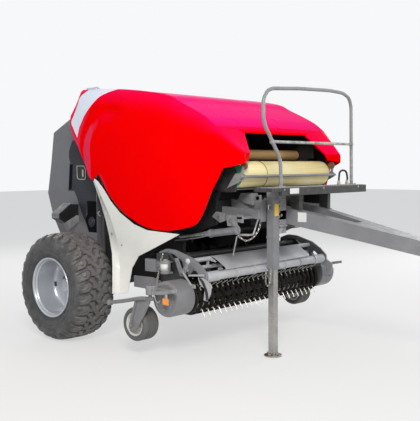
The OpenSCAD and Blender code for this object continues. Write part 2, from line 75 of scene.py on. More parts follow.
class Axis(Enum):
    """Directions that a turned part can have."""

    FORWARD = 0
    ACROSS = 1
    UP = 2


# Curves and outlines


def lerp(a: float, b: float, t: float) -> float:
    """Value a share t of the way from a to b."""
    return a + (b - a) * t


def smoothstep(low: float, high: float, value: float) -> float:
    """Soft step from 0 at low to 1 at high."""
    t = min(1.0, max(0.0, (value - low) / (high - low)))
    return t * t * (3 - 2 * t)


def through(points: Sequence[Sequence[float]], steps: int) -> list[tuple[float, ...]]:
    """Smooth curve through all points.

    Args:
        points: Points that the curve meets.
        steps: Pieces between two neighbouring points.

    Returns:
        The points of the curve.
    """
    curve: list[tuple[float, ...]] = []
    last = len(points) - 1
    for i in range(last):
        p0, p1 = points[max(0, i - 1)], points[i]
        p2, p3 = points[i + 1], points[min(last, i + 2)]
        for k in range(steps):
            t = k / steps
            curve.append(tuple(
                0.5 * (2 * b + (c - a) * t + (2 * a - 5 * b + 4 * c - d) * t * t
                       + (3 * b - a - 3 * c + d) * t ** 3)
                for a, b, c, d in zip(p0, p1, p2, p3)))
    curve.append(tuple(points[-1]))
    return curve


def table(rows: Sequence[Sequence[float]], column: int, x: float) -> float:
    """Value in a column of a table of stations, between the two stations next to x."""
    if x <= rows[0][0]:
        return rows[0][column]
    for a, b in zip(rows, rows[1:]):
        if x <= b[0]:
            return lerp(a[column], b[column], (x - a[0]) / (b[0] - a[0]))
    return rows[-1][column]


def rounded(path: Sequence[Sequence[float]], radius: float, steps: int = 5,
            closed: bool = False) -> list[tuple[float, ...]]:
    """Path with its corners rounded.

    Args:
        path: Corner points.
        radius: Length that each corner takes from the legs beside it.
        steps: Pieces of each rounding.
        closed: True where the last point joins the first.

    Returns:
        The points of the rounded path.
    """
    made: list[tuple[float, ...]] = []
    count = len(path)
    for i, point in enumerate(path):
        if not closed and i in (0, count - 1):
            made.append(tuple(point))
            continue
        here = Vector(point)
        before, after = Vector(path[i - 1]), Vector(path[(i + 1) % count])
        cut = min(radius, (before - here).length * 0.45, (after - here).length * 0.45)
        start = here + (before - here).normalized() * cut
        end = here + (after - here).normalized() * cut
        for k in range(steps + 1):
            t = k / steps
            made.append(tuple(start * (1 - t) ** 2 + here * 2 * t * (1 - t) + end * t * t))
    return made


def rect(a: Flat, b: Flat) -> list[Flat]:
    """Corners of a rectangle between two ranges."""
    return [(a[0], b[0]), (a[1], b[0]), (a[1], b[1]), (a[0], b[1])]


def ring(radius: float, sides: int, start: float = 0.0) -> list[Flat]:
    """Points of a circle round the origin, from the angle start in degrees."""
    return [(radius * math.cos(math.radians(start) + math.tau * k / sides),
             radius * math.sin(math.radians(start) + math.tau * k / sides)) for k in range(sides)]


# Meshes


def linked(name: str, data: bpy.types.ID) -> bpy.types.Object:
    """New object that shows its data in the scene."""
    obj = bpy.data.objects.new(name, data)
    bpy.context.scene.collection.objects.link(obj)
    return obj


def soften(obj: bpy.types.Object, width: float, steps: int = 2, crease: float = 40.0) -> None:
    """Gives edges sharper than crease degrees a rounding of a width in millimetres."""
    edge = obj.modifiers.new("edges", "BEVEL")
    edge.width, edge.segments, edge.limit_method = width * MM, steps, "ANGLE"
    edge.angle_limit = math.radians(crease)
    edge.harden_normals = True


class Shape:
    """A mesh in the making, in millimetres from the axle, drawn for the left side."""

    def __init__(self, side: Side = Side.LEFT) -> None:
        """Starts an empty mesh for one side of the machine."""
        self.mesh = bmesh.new()
        self.side = side

    def point(self, x: float, y: float, z: float) -> bmesh.types.BMVert:
        """Adds one point."""
        return self.mesh.verts.new((AXLE_X + x * MM, self.side.value * y * MM, z * MM))

    def sheet(self, rows: Sequence[Sequence[Point]], around: bool = False, along: bool = False) -> None:
        """Skins a grid of points.

        Args:
            rows: Rows with the same number of points each.
            around: True where each row closes on itself.
            along: True where the last row joins the first.
        """
        grid = [[self.point(*p) for p in row] for row in rows]
        count, wide = len(grid), len(grid[0])
        for i in range(count if along else count - 1):
            a, b = grid[i], grid[(i + 1) % count]
            for j in range(wide if around else wide - 1):
                k = (j + 1) % wide
                self.mesh.faces.new((a[j], a[k], b[k], b[j]))
        if around and not along:
            self.mesh.faces.new(grid[0])
            self.mesh.faces.new(grid[-1])

    def prism(self, outline: Sequence[Flat], low: float, high: float, axis: Axis = Axis.ACROSS) -> None:
        """Plate of any outline.

        Args:
            outline: The outline as (x, z), (y, z) or (x, y) for a plate across, forward or up.
            low: Where the plate starts along its axis.
            high: Where the plate ends.
            axis: Direction of the plate's thickness.
        """
        place: Callable[[Flat, float], Point] = {
            Axis.ACROSS: lambda p, h: (p[0], h, p[1]),
            Axis.FORWARD: lambda p, h: (h, p[0], p[1]),
            Axis.UP: lambda p, h: (p[0], p[1], h)}[axis]
        self.sheet([[place(p, h) for p in outline] for h in (low, high)], around=True)

    def block(self, x: Flat, y: Flat, z: Flat) -> None:
        """Box between two corners."""
        self.prism(rect(x, z), *y)

    def pipe(self, path: Sequence[Point], radius: float, sides: int = 12) -> None:
        """Round bar or hose along a path.

        Args:
            path: Points of the middle line.
            radius: Radius of the bar.
            sides: Flats round the bar.
        """
        points = [Vector(p) for p in path]
        last = len(points) - 1
        side_way: Vector | None = None
        rows = []
        for i, here in enumerate(points):
            ahead = (points[min(last, i + 1)] - here).normalized()
            back = (here - points[max(0, i - 1)]).normalized()
            way = (ahead + back).normalized() if 0 < i < last else (ahead if i == 0 else back)
            if side_way is None:
                side_way = way.cross(Vector((0, 0, 1) if abs(way.z) < 0.9 else (1, 0, 0)))
            side_way = (side_way - way * side_way.dot(way)).normalized()
            third = way.cross(side_way)
            rows.append([tuple(here + side_way * a + third * b) for a, b in ring(radius, sides)])
        self.sheet(rows, around=True)

    def chain(self, path: Sequence[Point], link: float, wire: float) -> None:
        """Chain of oval links along a path.

        Args:
            path: Points of the middle line.
            link: Inner length of a link.
            wire: Radius of the links' wire.
        """
        points = [Vector(p) for p in path]
        places = [0.0]
        for a, b in zip(points, points[1:]):
            places.append(places[-1] + (b - a).length)
        count = max(2, int(places[-1] / link))
        for i in range(count):
            goal = places[-1] * (i + 0.5) / count
            k = max(j for j in range(len(points) - 1) if places[j] <= goal)
            share = (goal - places[k]) / (places[k + 1] - places[k])
            middle = points[k].lerp(points[k + 1], share)
            way = (points[k + 1] - points[k]).normalized()
            flat = way.cross(Vector((0, 1, 0) if abs(way.y) < 0.8 else (1, 0, 0))).normalized()
            broad = flat if i % 2 else way.cross(flat)
            third = way.cross(broad)
            length, width = link * 0.5 + wire, wire * 2.4
            rows = []
            for n in range(10):
                a = math.tau * n / 10
                spot = middle + way * (length * math.cos(a)) + broad * (width * math.sin(a))
                out = (way * (width * math.cos(a)) + broad * (length * math.sin(a))).normalized()
                rows.append([tuple(spot + out * (wire * math.cos(b)) + third * (wire * math.sin(b)))
                             for b in (math.tau * m / 6 for m in range(6))])
            self.sheet(rows, around=True, along=True)

    def rod(self, x: float, z: float, radius: float, y0: float, y1: float, sides: int = 28,
            soft: float = 0.0) -> None:
        """Round bar across the machine, with softened ends where soft is above 0."""
        if soft:
            profile = [(0.0, y0), (radius - soft, y0), (radius, y0 + soft),
                       (radius, y1 - soft), (radius - soft, y1), (0.0, y1)]
            self.turned(profile, (x, 0, z), sides=sides)
        else:
            self.sheet([[(x + a, y, z + b) for a, b in ring(radius, sides)] for y in (y0, y1)],
                       around=True)

    def turned(self, profile: Sequence[Flat], centre: Point, axis: Axis = Axis.ACROSS,
               sides: int = 48) -> None:
        """Solid turned from a closed profile.

        Args:
            profile: Points as (radius, distance along the axis).
            centre: A point on the axis.
            axis: Direction of the axis.
            sides: Flats round the solid.
        """
        cx, cy, cz = centre
        place: Callable[[float, float, float], Point] = {
            Axis.ACROSS: lambda a, b, h: (cx + a, cy + h, cz + b),
            Axis.FORWARD: lambda a, b, h: (cx + h, cy + a, cz + b),
            Axis.UP: lambda a, b, h: (cx + a, cy + b, cz + h)}[axis]
        grid = []
        for k in range(sides):
            turn = math.tau * k / sides
            grid.append([place(r * math.cos(turn), r * math.sin(turn), h) for r, h in profile])
        self.sheet(grid, along=True)
        bmesh.ops.remove_doubles(self.mesh, verts=self.mesh.verts[:], dist=1e-6)

    def bolts(self, places: Iterable[Point], radius: float, height: float,
              axis: Axis = Axis.ACROSS) -> None:
        """Hexagon heads on washers, standing out along the axis by their height."""
        out = 1 if height > 0 else -1
        for x, y, z in places:
            for r, h0, h1, sides in ((radius * 1.5, 0.0, 2.0, 16), (radius, 2.0, abs(height), 6)):
                lines = [[(a, b, out * h) for a, b in ring(r, sides, 30)] for h in (h0, h1)]
                rows = [[(x + (h if axis is Axis.FORWARD else a),
                          y + (h if axis is Axis.ACROSS else (a if axis is Axis.FORWARD else b)),
                          z + (h if axis is Axis.UP else b)) for a, b, h in line] for line in lines]
                self.sheet(rows, around=True)

    def bolt_circle(self, centre: Point, radius: float, count: int, size: float, height: float,
                    start: float = 0.0) -> None:
        """Bolts in a circle round a point of a side face, from the angle start in degrees."""
        x, y, z = centre
        self.bolts([(x + a, y, z + b) for a, b in ring(radius, count, start)], size, height)

    def piece(self, name: str, finish: "Finish", body: str, stands_for: Sequence[str] = (), slot: str = "",
              bevel: float = 0.0, steps: int = 2, crease: float = 35.0, thickness: float = 0.0) -> None:
        """Turns the mesh into a piece of the machine.

        Args:
            name: Name of the piece.
            finish: Its surface.
            body: Body of the frame that it rides on.
            stands_for: CAD nodes that it replaces.
            slot: The record's material slot, where it isn't the finish's usual one; not used.
            bevel: Width of the softened edges, in millimetres.
            steps: Pieces of each softened edge.
            crease: Angle in degrees above which an edge stays sharp.
            thickness: Wall given to an open skin, in millimetres.
        """
        bmesh.ops.recalc_face_normals(self.mesh, faces=self.mesh.faces[:])
        data = bpy.data.meshes.new(name)
        self.mesh.to_mesh(data)
        self.mesh.free()
        data.polygons.foreach_set("use_smooth", [True] * len(data.polygons))
        data.set_sharp_from_angle(angle=math.radians(crease))
        obj = linked(name, data)
        if thickness:
            wall = obj.modifiers.new("wall", "SOLIDIFY")
            wall.thickness, wall.offset = thickness * MM, -1.0
        if bevel:
            soften(obj, bevel, steps, crease)
        data.materials.append(finish.material())
        slot = slot or finish.slot
        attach(obj, body)
        if stands_for:
            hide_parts(*stands_for)
        LOG.info("%s: %d faces on %s", name, len(data.polygons), body)


# Finishes


Socket = bpy.types.NodeSocket


class Nodes:
    """Short way to place and join shader nodes."""

    def __init__(self, owner: bpy.types.Material | bpy.types.World, shader: str = "ShaderNodeBsdfPrincipled",
                 output: str = "ShaderNodeOutputMaterial") -> None:
        """Clears the owner's node tree and joins a shader to its output."""
        owner.use_nodes = True
        self.tree = owner.node_tree
        self.tree.nodes.clear()
        self.shader = self.add(shader)
        self.output = self.add(output)
        self.put(self.shader.outputs[0], self.output.inputs[0])

    def put(self, value: object, target: Socket) -> None:
        """Joins a socket, or writes a plain value, into a socket."""
        if isinstance(value, Socket):
            self.tree.links.new(value, target)
        else:
            target.default_value = (*value, 1.0) if target.type == "RGBA" else value

    def fill(self, node: bpy.types.Node, values: dict[int | str, object]) -> None:
        """Puts a value or a socket into each named input of a node."""
        for key, value in values.items():
            self.put(value, node.inputs[key])

    def add(self, kind: str, values: dict[int | str, object] | None = None,
            **settings: str) -> bpy.types.Node:
        """Adds a node, sets its fields and fills its inputs."""
        node = self.tree.nodes.new(kind)
        for key, value in settings.items():
            setattr(node, key, value)
        self.fill(node, values or {})
        return node

    def blend(self, share: Socket, other: bpy.types.Node) -> None:
        """Mixes a second shader over the first one by a share."""
        mixed = self.add("ShaderNodeMixShader", {0: share, 1: self.shader.outputs[0], 2: other.outputs[0]})
        self.put(mixed.outputs[0], self.output.inputs[0])

    def place(self) -> Socket:
        """Coordinates that stay on the piece, in metres."""
        return self.add("ShaderNodeTexCoord").outputs["Object"]

    def parts(self, vector: Socket) -> bpy.types.NodeOutputs:
        """The X, Y and Z of a vector."""
        return self.add("ShaderNodeSeparateXYZ", {0: vector}).outputs

    def noise(self, scale: float, detail: float = 4.0, rough: float = 0.6,
              at: Socket | None = None) -> Socket:
        """Cloudy noise of about scale spots per metre."""
        return self.add("ShaderNodeTexNoise", {"Scale": scale, "Detail": detail, "Roughness": rough,
                                               "Vector": at or self.place()}).outputs["Fac"]

    def math(self, operation: str, a: object, b: object = 0.0) -> Socket:
        """One sum on one or two values."""
        return self.add("ShaderNodeMath", {0: a, 1: b}, operation=operation).outputs[0]

    def times(self, product: object, *others: object) -> Socket:
        """Product of two or more values."""
        for other in others:
            product = self.math("MULTIPLY", product, other)
        return product

    def step(self, value: object, low: float, high: float) -> Socket:
        """Soft step of a value from 0 at low to 1 at high."""
        return self.add("ShaderNodeMapRange", {"Value": value, "From Min": low, "From Max": high},
                        interpolation_type="SMOOTHSTEP").outputs[0]

    def mix(self, share: object, a: object, b: object) -> Socket:
        """Mix of two colours by a share."""
        return self.add("ShaderNodeMix", {0: share, 6: a, 7: b}, data_type="RGBA").outputs[2]

    def bump(self, height: Socket, depth: float) -> None:
        """Relief of a depth in millimetres from a height between 0 and 1."""
        node = self.add("ShaderNodeBump", {"Distance": depth * MM, "Strength": 1.0, "Height": height})
        self.put(node.outputs[0], self.shader.inputs["Normal"])


@dataclass(frozen=True)
class Finish:
    """A painted, bare or moulded surface with patches, fine relief, dust and worn edges.

    Attributes:
        name: Name of the material.
        slot: The record's material slot for this finish.
        colour: Main colour.
        shade: Second colour, in soft patches.
        spread: How far the roughness swings to either side.
        tint: Colour of the plain reflection.
        patch: Patches per metre.
        grain: Grains of the fine relief per metre.
        relief: Height of the fine relief in millimetres.
        dust: Share of dust where it lies thickest.
        splash_height: Height in metres above which no soil splashes.
        wear: Share of bare metal on worn edges.
        bare: Colour under the worn paint.
    """

    name: str
    slot: str
    colour: Colour
    shade: Colour
    roughness: float = 0.4
    spread: float = 0.12
    metallic: float = 0.0
    coat: float = 0.0
    specular: float = 0.5
    tint: Colour = (1.0, 1.0, 1.0)
    patch: float = 5.0
    grain: float = 220.0
    relief: float = 0.25
    dust: float = 0.25
    dust_colour: Colour = (0.30, 0.25, 0.18)
    splash_height: float = 0.9
    wear: float = 0.25
    bare: Colour = (0.34, 0.33, 0.32)

    def material(self) -> bpy.types.Material:
        """The shader material of this finish, built once."""
        known = bpy.data.materials.get(self.name)
        if known:
            return known
        made = bpy.data.materials.new(self.name)
        made.diffuse_color = (*self.colour, 1.0)
        nodes = Nodes(made)
        rough = nodes.add("ShaderNodeMapRange", {"Value": nodes.noise(self.patch * 3), "From Min": 0.3,
                                                 "From Max": 0.7,
                                                 "To Min": max(0.03, self.roughness - self.spread),
                                                 "To Max": min(1.0, self.roughness + self.spread)})
        nodes.fill(nodes.shader, {
            "Base Color": self.soiled(nodes, self.pigment(nodes)), "Roughness": rough.outputs[0],
            "Metallic": self.metallic, "Coat Weight": self.coat, "Coat Roughness": 0.04,
            "Specular IOR Level": self.specular, "Specular Tint": self.tint})
        self.grained(nodes)
        return made

    def pigment(self, nodes: Nodes) -> Socket:
        """Colour in soft patches between the two shades."""
        patches = nodes.step(nodes.noise(self.patch, 6.0), 0.35, 0.68)
        return nodes.mix(patches, self.colour, self.shade)

    def soiled(self, nodes: Nodes, colour: Socket) -> Socket:
        """Dust on upward faces and low down, and bare metal on worn edges."""
        geometry = nodes.add("ShaderNodeNewGeometry")
        if self.wear:
            worn = nodes.step(geometry.outputs["Pointiness"], 0.53, 0.62)
            worn = nodes.times(worn, nodes.step(nodes.noise(18.0, 6.0), 0.4, 0.6), self.wear * 2)
            colour = nodes.mix(worn, colour, self.bare)
        if self.dust:
            upward = nodes.step(nodes.parts(geometry.outputs["Normal"])["Z"], 0.2, 1.0)
            low = nodes.step(nodes.parts(nodes.place())["Z"], self.splash_height, 0.15)
            lying = nodes.math("ADD", nodes.times(upward, 0.6), nodes.times(low, 0.7))
            cloud = nodes.step(nodes.noise(9.0, 8.0, 0.7), 0.38, 0.72)
            colour = nodes.mix(nodes.times(lying, cloud, self.dust), colour, self.dust_colour)
        return colour

    def grained(self, nodes: Nodes) -> None:
        """Fine relief of the surface."""
        if self.relief:
            nodes.bump(nodes.noise(self.grain, 3.0), self.relief)


# Edges of the hood's stripe in metres: height, X of the rear edge and X of the front edge
STRIPE_LINES = [
    (1.905, -0.137, -0.133), (1.960, -0.178, -0.108), (2.008, -0.212, -0.083), (2.040, -0.236, -0.055),
    (2.070, -0.236, -0.030), (2.110, -0.206, 0.007), (2.155, -0.175, 0.055), (2.200, -0.148, 0.110),
    (2.240, -0.125, 0.160), (2.280, -0.112, 0.215), (2.315, -0.080, 0.310), (2.345, -0.035, 0.420),
    (2.375, 0.000, 0.490)]


@dataclass(frozen=True)
class HoodPaint(Finish):
    """Gloss red moulding with the pale stripe across its upper rear corner, and painted reflections in its
    red: the sky on faces that look up, a lavender haze of sky on the flat top and a pale sheen on faces that
    look to the rear.
    """

    stripe: Colour = (0.80, 0.85, 0.97)
    # Painted reflections mixed into the red: the first colour below for the sky on faces that look up, the
    # second for a sheen on faces that look to the rear, the third for a lavender haze of sky on the flat top.
    sky: Colour = (1.0, 0.006, 0.19)
    painted_sheen: Colour = (0.88, 0.07, 0.20)
    painted_sky_haze: Colour = (0.86, 0.30, 0.58)
    stripe_y: float = 0.795

    def pigment(self, nodes: Nodes) -> Socket:
        """Red with painted reflections: the sky on faces that look up, a sheen on faces that look to the rear
        and a haze on the flat top; and the stripe.
        """
        red = super().pigment(nodes)
        facing = nodes.parts(nodes.add("ShaderNodeTexCoord").outputs["Normal"])
        up, rearward = facing["Z"], nodes.times(facing["X"], -1.0)
        # Each row mixes a painted reflection into the red by how far the face turns up or to the rear.
        for way, low, high, share, colour in (
                (up, 0.12, 0.6, 0.3, self.sky), (rearward, 0.07, 0.2, 0.5, self.painted_sheen),
                (up, 0.755, 0.80, 1.0, self.sky), (up, 0.955, 0.985, 0.4, self.painted_sky_haze)):
            red = nodes.mix(nodes.times(nodes.step(way, low, high), share), red, colour)
        place = nodes.parts(nodes.place())
        half = nodes.math("ABSOLUTE", place["Y"])
        inside = nodes.times(nodes.math("GREATER_THAN", place["X"], self.stripe_edge(nodes, place["Z"], 1)),
                             nodes.math("LESS_THAN", place["X"], self.stripe_edge(nodes, place["Z"], 2)),
                             nodes.math("GREATER_THAN", place["Z"], STRIPE_LINES[0][0]),
                             nodes.math("GREATER_THAN", half, self.stripe_y))
        return nodes.mix(inside, red, self.stripe)

    @staticmethod
    def stripe_edge(nodes: Nodes, height: Socket, column: int) -> Socket:
        """X of the stripe's edge in one column of its table, at a height."""
        low, high = STRIPE_LINES[0][0], STRIPE_LINES[-1][0]
        share = nodes.add("ShaderNodeMapRange", {"Value": height, "From Min": low, "From Max": high})
        curve = nodes.add("ShaderNodeFloatCurve", {"Value": share.outputs[0]})
        line = curve.mapping.curves[0]
        spots = [((row[0] - low) / (high - low), row[column] + 0.5) for row in STRIPE_LINES]
        line.points[0].location, line.points[-1].location = spots[0], spots[-1]
        for spot in spots[1:-1]:
            line.points.new(*spot)
        curve.mapping.update()
        return nodes.math("SUBTRACT", curve.outputs[0], 0.5 - AXLE_X)

    def grained(self, nodes: Nodes) -> None:
        """Very slight waviness of a large moulding."""
        nodes.bump(nodes.noise(6.0, 2.0), 1.2)


@dataclass(frozen=True)
class TyreRubber(Finish):
    """Rubber with dust in the grooves and on the walls, and lug tops lighter than the grooves: partly a
    scuffed tread, partly painted light on the lugs and painted shade in the grooves.
    """

    centre: Point = (0.0, 0.0, 0.50)
    tread_radius: float = 0.50
    groove: float = 0.028

    def soiled(self, nodes: Nodes, colour: Socket) -> Socket:
        """Dust, and lighter lug tops by the distance from the wheel's axis: partly scuff, partly painted
        light on the lugs and painted shade in the grooves.
        """
        place = nodes.parts(nodes.place())
        dx = nodes.math("SUBTRACT", place["X"], AXLE_X + self.centre[0])
        dz = nodes.math("SUBTRACT", place["Z"], self.centre[2])
        far = nodes.math("SQRT", nodes.math("ADD", nodes.times(dx, dx), nodes.times(dz, dz)))
        cloud = nodes.step(nodes.noise(14.0, 8.0, 0.7), 0.34, 0.66)
        # The lug tops turn lighter than the grooves: partly scuff, partly painted light on the lugs and
        # painted shade in the grooves.
        tread = nodes.step(far, self.tread_radius - self.groove * 1.6, self.tread_radius - 0.002)
        wall = nodes.step(far, self.tread_radius * 0.55, self.tread_radius * 0.9)
        share = nodes.times(cloud, nodes.math("ADD", wall, 0.35), self.dust)
        return nodes.mix(nodes.times(tread, 0.65), nodes.mix(share, colour, self.dust_colour), self.bare)


@dataclass(frozen=True)
class NetWrap(Finish):
    """Netting wound tight on a roll: fine threads round it and slanting wraps."""

    def grained(self, nodes: Nodes) -> None:
        """Threads of the netting."""
        wave = nodes.add("ShaderNodeTexWave", {"Scale": 60.0, "Distortion": 1.5, "Vector": nodes.place()},
                         wave_type="BANDS", bands_direction="Y")
        nodes.bump(wave.outputs["Fac"], 0.8)

    def soiled(self, nodes: Nodes, colour: Socket) -> Socket:
        """Streaks along the roll and darker lines where the net overlaps."""
        stretch = nodes.add("ShaderNodeMapping", {"Scale": (6.0, 0.5, 40.0), 0: nodes.place()})
        streak = nodes.step(nodes.noise(3.0, 6.0, 0.7, stretch.outputs[0]), 0.45, 0.72)
        return nodes.mix(nodes.times(streak, self.dust), colour, self.dust_colour)


class Palette:
    """The finishes of the machine."""

    HOOD = HoodPaint("hood_paint", "hood_red", (0.95, 0.0003, 0.001), (0.90, 0.0003, 0.001), roughness=0.3,
                     spread=0.04, specular=0.004, tint=(1.0, 0.06, 0.08), dust=0.0, wear=0.0, patch=1.6)
    HINGE = Finish("hinge_grey_paint", "hood_red", (0.60, 0.63, 0.73), (0.52, 0.55, 0.64), roughness=0.35,
                   dust=0.1, wear=0.1)
    SHIELD = Finish("shield_moulding", "shield", (0.80, 0.80, 0.755), (0.74, 0.745, 0.70), roughness=0.35,
                    spread=0.08, coat=0.2, dust=0.2, dust_colour=(0.44, 0.40, 0.32),
                    wear=0.0, patch=3.0, relief=0.1)
    GATE = Finish("tailgate_paint", "gate_grey", (0.132, 0.134, 0.146), (0.150, 0.152, 0.165),
                  roughness=0.38, coat=0.1, dust=0.2, dust_colour=(0.24, 0.225, 0.20),
                  wear=0.1, patch=2.0, relief=0.08)
    GATE_DARK = Finish("tailgate_dark_paint", "gate_grey", (0.028, 0.029, 0.039), (0.033, 0.034, 0.045),
                       roughness=0.5, dust=0.06, patch=1.5, relief=0.05, dust_colour=(0.10, 0.09, 0.08),
                       wear=0.0, specular=0.25)
    # Black for black parts, and also painted shade on pieces in the machine's shaded inside.
    BLACK = Finish("black_paint", "frame_dark", (0.006, 0.006, 0.007), (0.010, 0.0095, 0.010), roughness=0.6,
                   dust=0.2, dust_colour=(0.060, 0.050, 0.038), wear=0.25, bare=(0.10, 0.10, 0.10))
    DARK = Finish("frame_dark_paint", "frame_dark", (0.020, 0.020, 0.022), (0.032, 0.031, 0.031),
                  roughness=0.48, dust=0.45, dust_colour=(0.12, 0.10, 0.078), wear=0.35,
                  bare=(0.2, 0.2, 0.2))
    FRAME = Finish("frame_grey_paint", "frame_grey", (0.175, 0.178, 0.192), (0.205, 0.207, 0.218),
                   roughness=0.4, coat=0.1, dust=0.3, dust_colour=(0.24, 0.22, 0.185), wear=0.35,
                   bare=(0.42, 0.42, 0.41))
    PALE = Finish("pale_grey_paint", "frame_grey", (0.25, 0.252, 0.26), (0.215, 0.216, 0.222),
                  roughness=0.42, dust=0.3, dust_colour=(0.33, 0.30, 0.25), wear=0.4,
                  bare=(0.55, 0.54, 0.52))
    SILVER = Finish("rim_silver_paint", "rim_silver", (0.50, 0.52, 0.56), (0.46, 0.48, 0.52), roughness=0.3,
                    metallic=0.45, coat=0.3, dust=0.03, dust_colour=(0.35, 0.31, 0.25), wear=0.0, relief=0.0,
                    spread=0.03, patch=1.5)
    RING_WHITE = Finish("rim_white_paint", "rim_white", (0.70, 0.69, 0.66), (0.58, 0.57, 0.54),
                        roughness=0.35, dust=0.15, wear=0.1, dust_colour=(0.35, 0.31, 0.25))
    GUARD = Finish("guard_grey_paint", "frame_grey", (0.47, 0.475, 0.50), (0.42, 0.425, 0.45),
                   roughness=0.45, dust=0.15, wear=0.2, dust_colour=(0.38, 0.35, 0.30),
                   bare=(0.6, 0.6, 0.58))
    TINE = Finish("bright_wire", "steel", (0.80, 0.78, 0.72), (0.66, 0.62, 0.55), roughness=0.35,
                  metallic=0.3, dust=0.1, wear=0.0)
    STEEL = Finish("worn_steel", "steel", (0.46, 0.45, 0.43), (0.32, 0.31, 0.30), roughness=0.34,
                   metallic=0.85, dust=0.35, dust_colour=(0.22, 0.17, 0.12), wear=0.0)
    ZINC = Finish("zinc_plate", "steel", (0.55, 0.54, 0.50), (0.42, 0.40, 0.36), roughness=0.35,
                  metallic=0.7, dust=0.3, wear=0.0)
    # The bands' near-black is painted shade over their grey, for the shade under the machine.
    BAND = Finish("band_painted_shade", "band_grey", (0.0035, 0.003, 0.0028), (0.006, 0.005, 0.004),
                  roughness=0.7, dust=0.15, specular=0.08, dust_colour=(0.035, 0.024, 0.016), wear=0.3,
                  bare=(0.06, 0.05, 0.04))
    NET = NetWrap("net_wrap", "net", (0.86, 0.72, 0.33), (0.93, 0.83, 0.48), roughness=0.5, dust=0.5,
                  patch=2.2, dust_colour=(0.52, 0.40, 0.18), wear=0.0)
    NET_TAN = NetWrap("net_wrap_tan", "roller_brown", (0.42, 0.26, 0.10), (0.50, 0.33, 0.14), roughness=0.55,
                      dust=0.4, patch=2.2, dust_colour=(0.26, 0.16, 0.07), wear=0.0)
    CAP_GREEN = Finish("green_plastic", "net", (0.02, 0.20, 0.10), (0.03, 0.26, 0.14), roughness=0.4,
                       dust=0.2, wear=0.0)
    ORANGE = Finish("orange_reflector", "lamp_black", (0.90, 0.27, 0.01), (0.95, 0.33, 0.02), roughness=0.2,
                    coat=0.8, dust=0.1, wear=0.0, relief=0.6, grain=160.0)
    RED_LENS = Finish("red_lens", "gate_grey", (0.45, 0.005, 0.008), (0.55, 0.01, 0.012), roughness=0.18,
                      coat=0.8, dust=0.1, wear=0.0, relief=0.5, grain=160.0)
    LABEL_YELLOW = Finish("yellow_label", "frame_grey", (0.85, 0.55, 0.05), (0.80, 0.50, 0.05),
                          roughness=0.4, dust=0.15, wear=0.0)
    LABEL_WHITE = Finish("white_label", "frame_grey", (0.72, 0.72, 0.72), (0.66, 0.66, 0.66), roughness=0.35,
                         dust=0.2, wear=0.0)
    HOSE = Finish("black_hose", "frame_dark", (0.012, 0.012, 0.012), (0.02, 0.02, 0.019), roughness=0.6,
                  dust=0.5, wear=0.0, dust_colour=(0.10, 0.085, 0.065), relief=0.5, grain=300.0)
    # Black rubber for seals, and also painted shade in slots and holes that are not cut.
    SEAL_AND_HOLE_SHADE = Finish("seal_rubber_and_hole_shade", "frame_dark", (0.003, 0.003, 0.004), (0.005, 0.005, 0.006), roughness=0.8,
                  dust=0.05, wear=0.0, specular=0.08)
    TYRE = TyreRubber("tyre_rubber", "tyre", (0.034, 0.035, 0.037), (0.046, 0.046, 0.048), roughness=0.5,
                      dust=0.55, dust_colour=(0.125, 0.123, 0.120), bare=(0.150, 0.145, 0.142),
                      relief=0.7, grain=140.0, wear=0.0)
    SMALL_TYRE = TyreRubber("gauge_tyre_rubber", "tyre_grey", (0.070, 0.071, 0.076), (0.088, 0.088, 0.090),
                            roughness=0.65, dust=0.35, dust_colour=(0.14, 0.13, 0.115),
                            bare=(0.13, 0.13, 0.128), centre=(1.04, 0.0, 0.28), tread_radius=0.145,
                            relief=0.6, grain=140.0, wear=0.0)
    BROWN = Finish("roller_rubber", "roller_brown", (0.16, 0.075, 0.035), (0.20, 0.10, 0.05), roughness=0.6,
                   dust=0.3, wear=0.0)


def dress(node: str, finish: Finish) -> None:
    """Gives a CAD node its finish and softened edges."""
    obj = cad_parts[node]
    obj.data.materials.clear()
    obj.data.materials.append(finish.material())
    weld = obj.modifiers.new("weld", "WELD")
    weld.merge_threshold = 1e-5
    soften(obj, 3.0)
    LOG.info("%s: dressed", node)


# Hood, roof and shields

REAR_X, FRONT_X = -120.0, 1604.0
FRONT_Z = 1955.0
HINGE_Y = 800.0
HOOD_Y = 920.0
SHIELD_Y = 918.0
HINGE_AXIS = (797, 2378)
TOP_LINE = [(-262, 2366), (-120, 2370), (140, 2360), (570, 2322), (1030, 2249), (1200, 2175), (1350, 2108),
            (1500, 2032), (1604, 1955)]
TOP_CURVE = through(TOP_LINE, 6)


def roof_height(x: float) -> float:
    """Height of the roof's top line at a station."""
    return table(TOP_CURVE, 1, x)


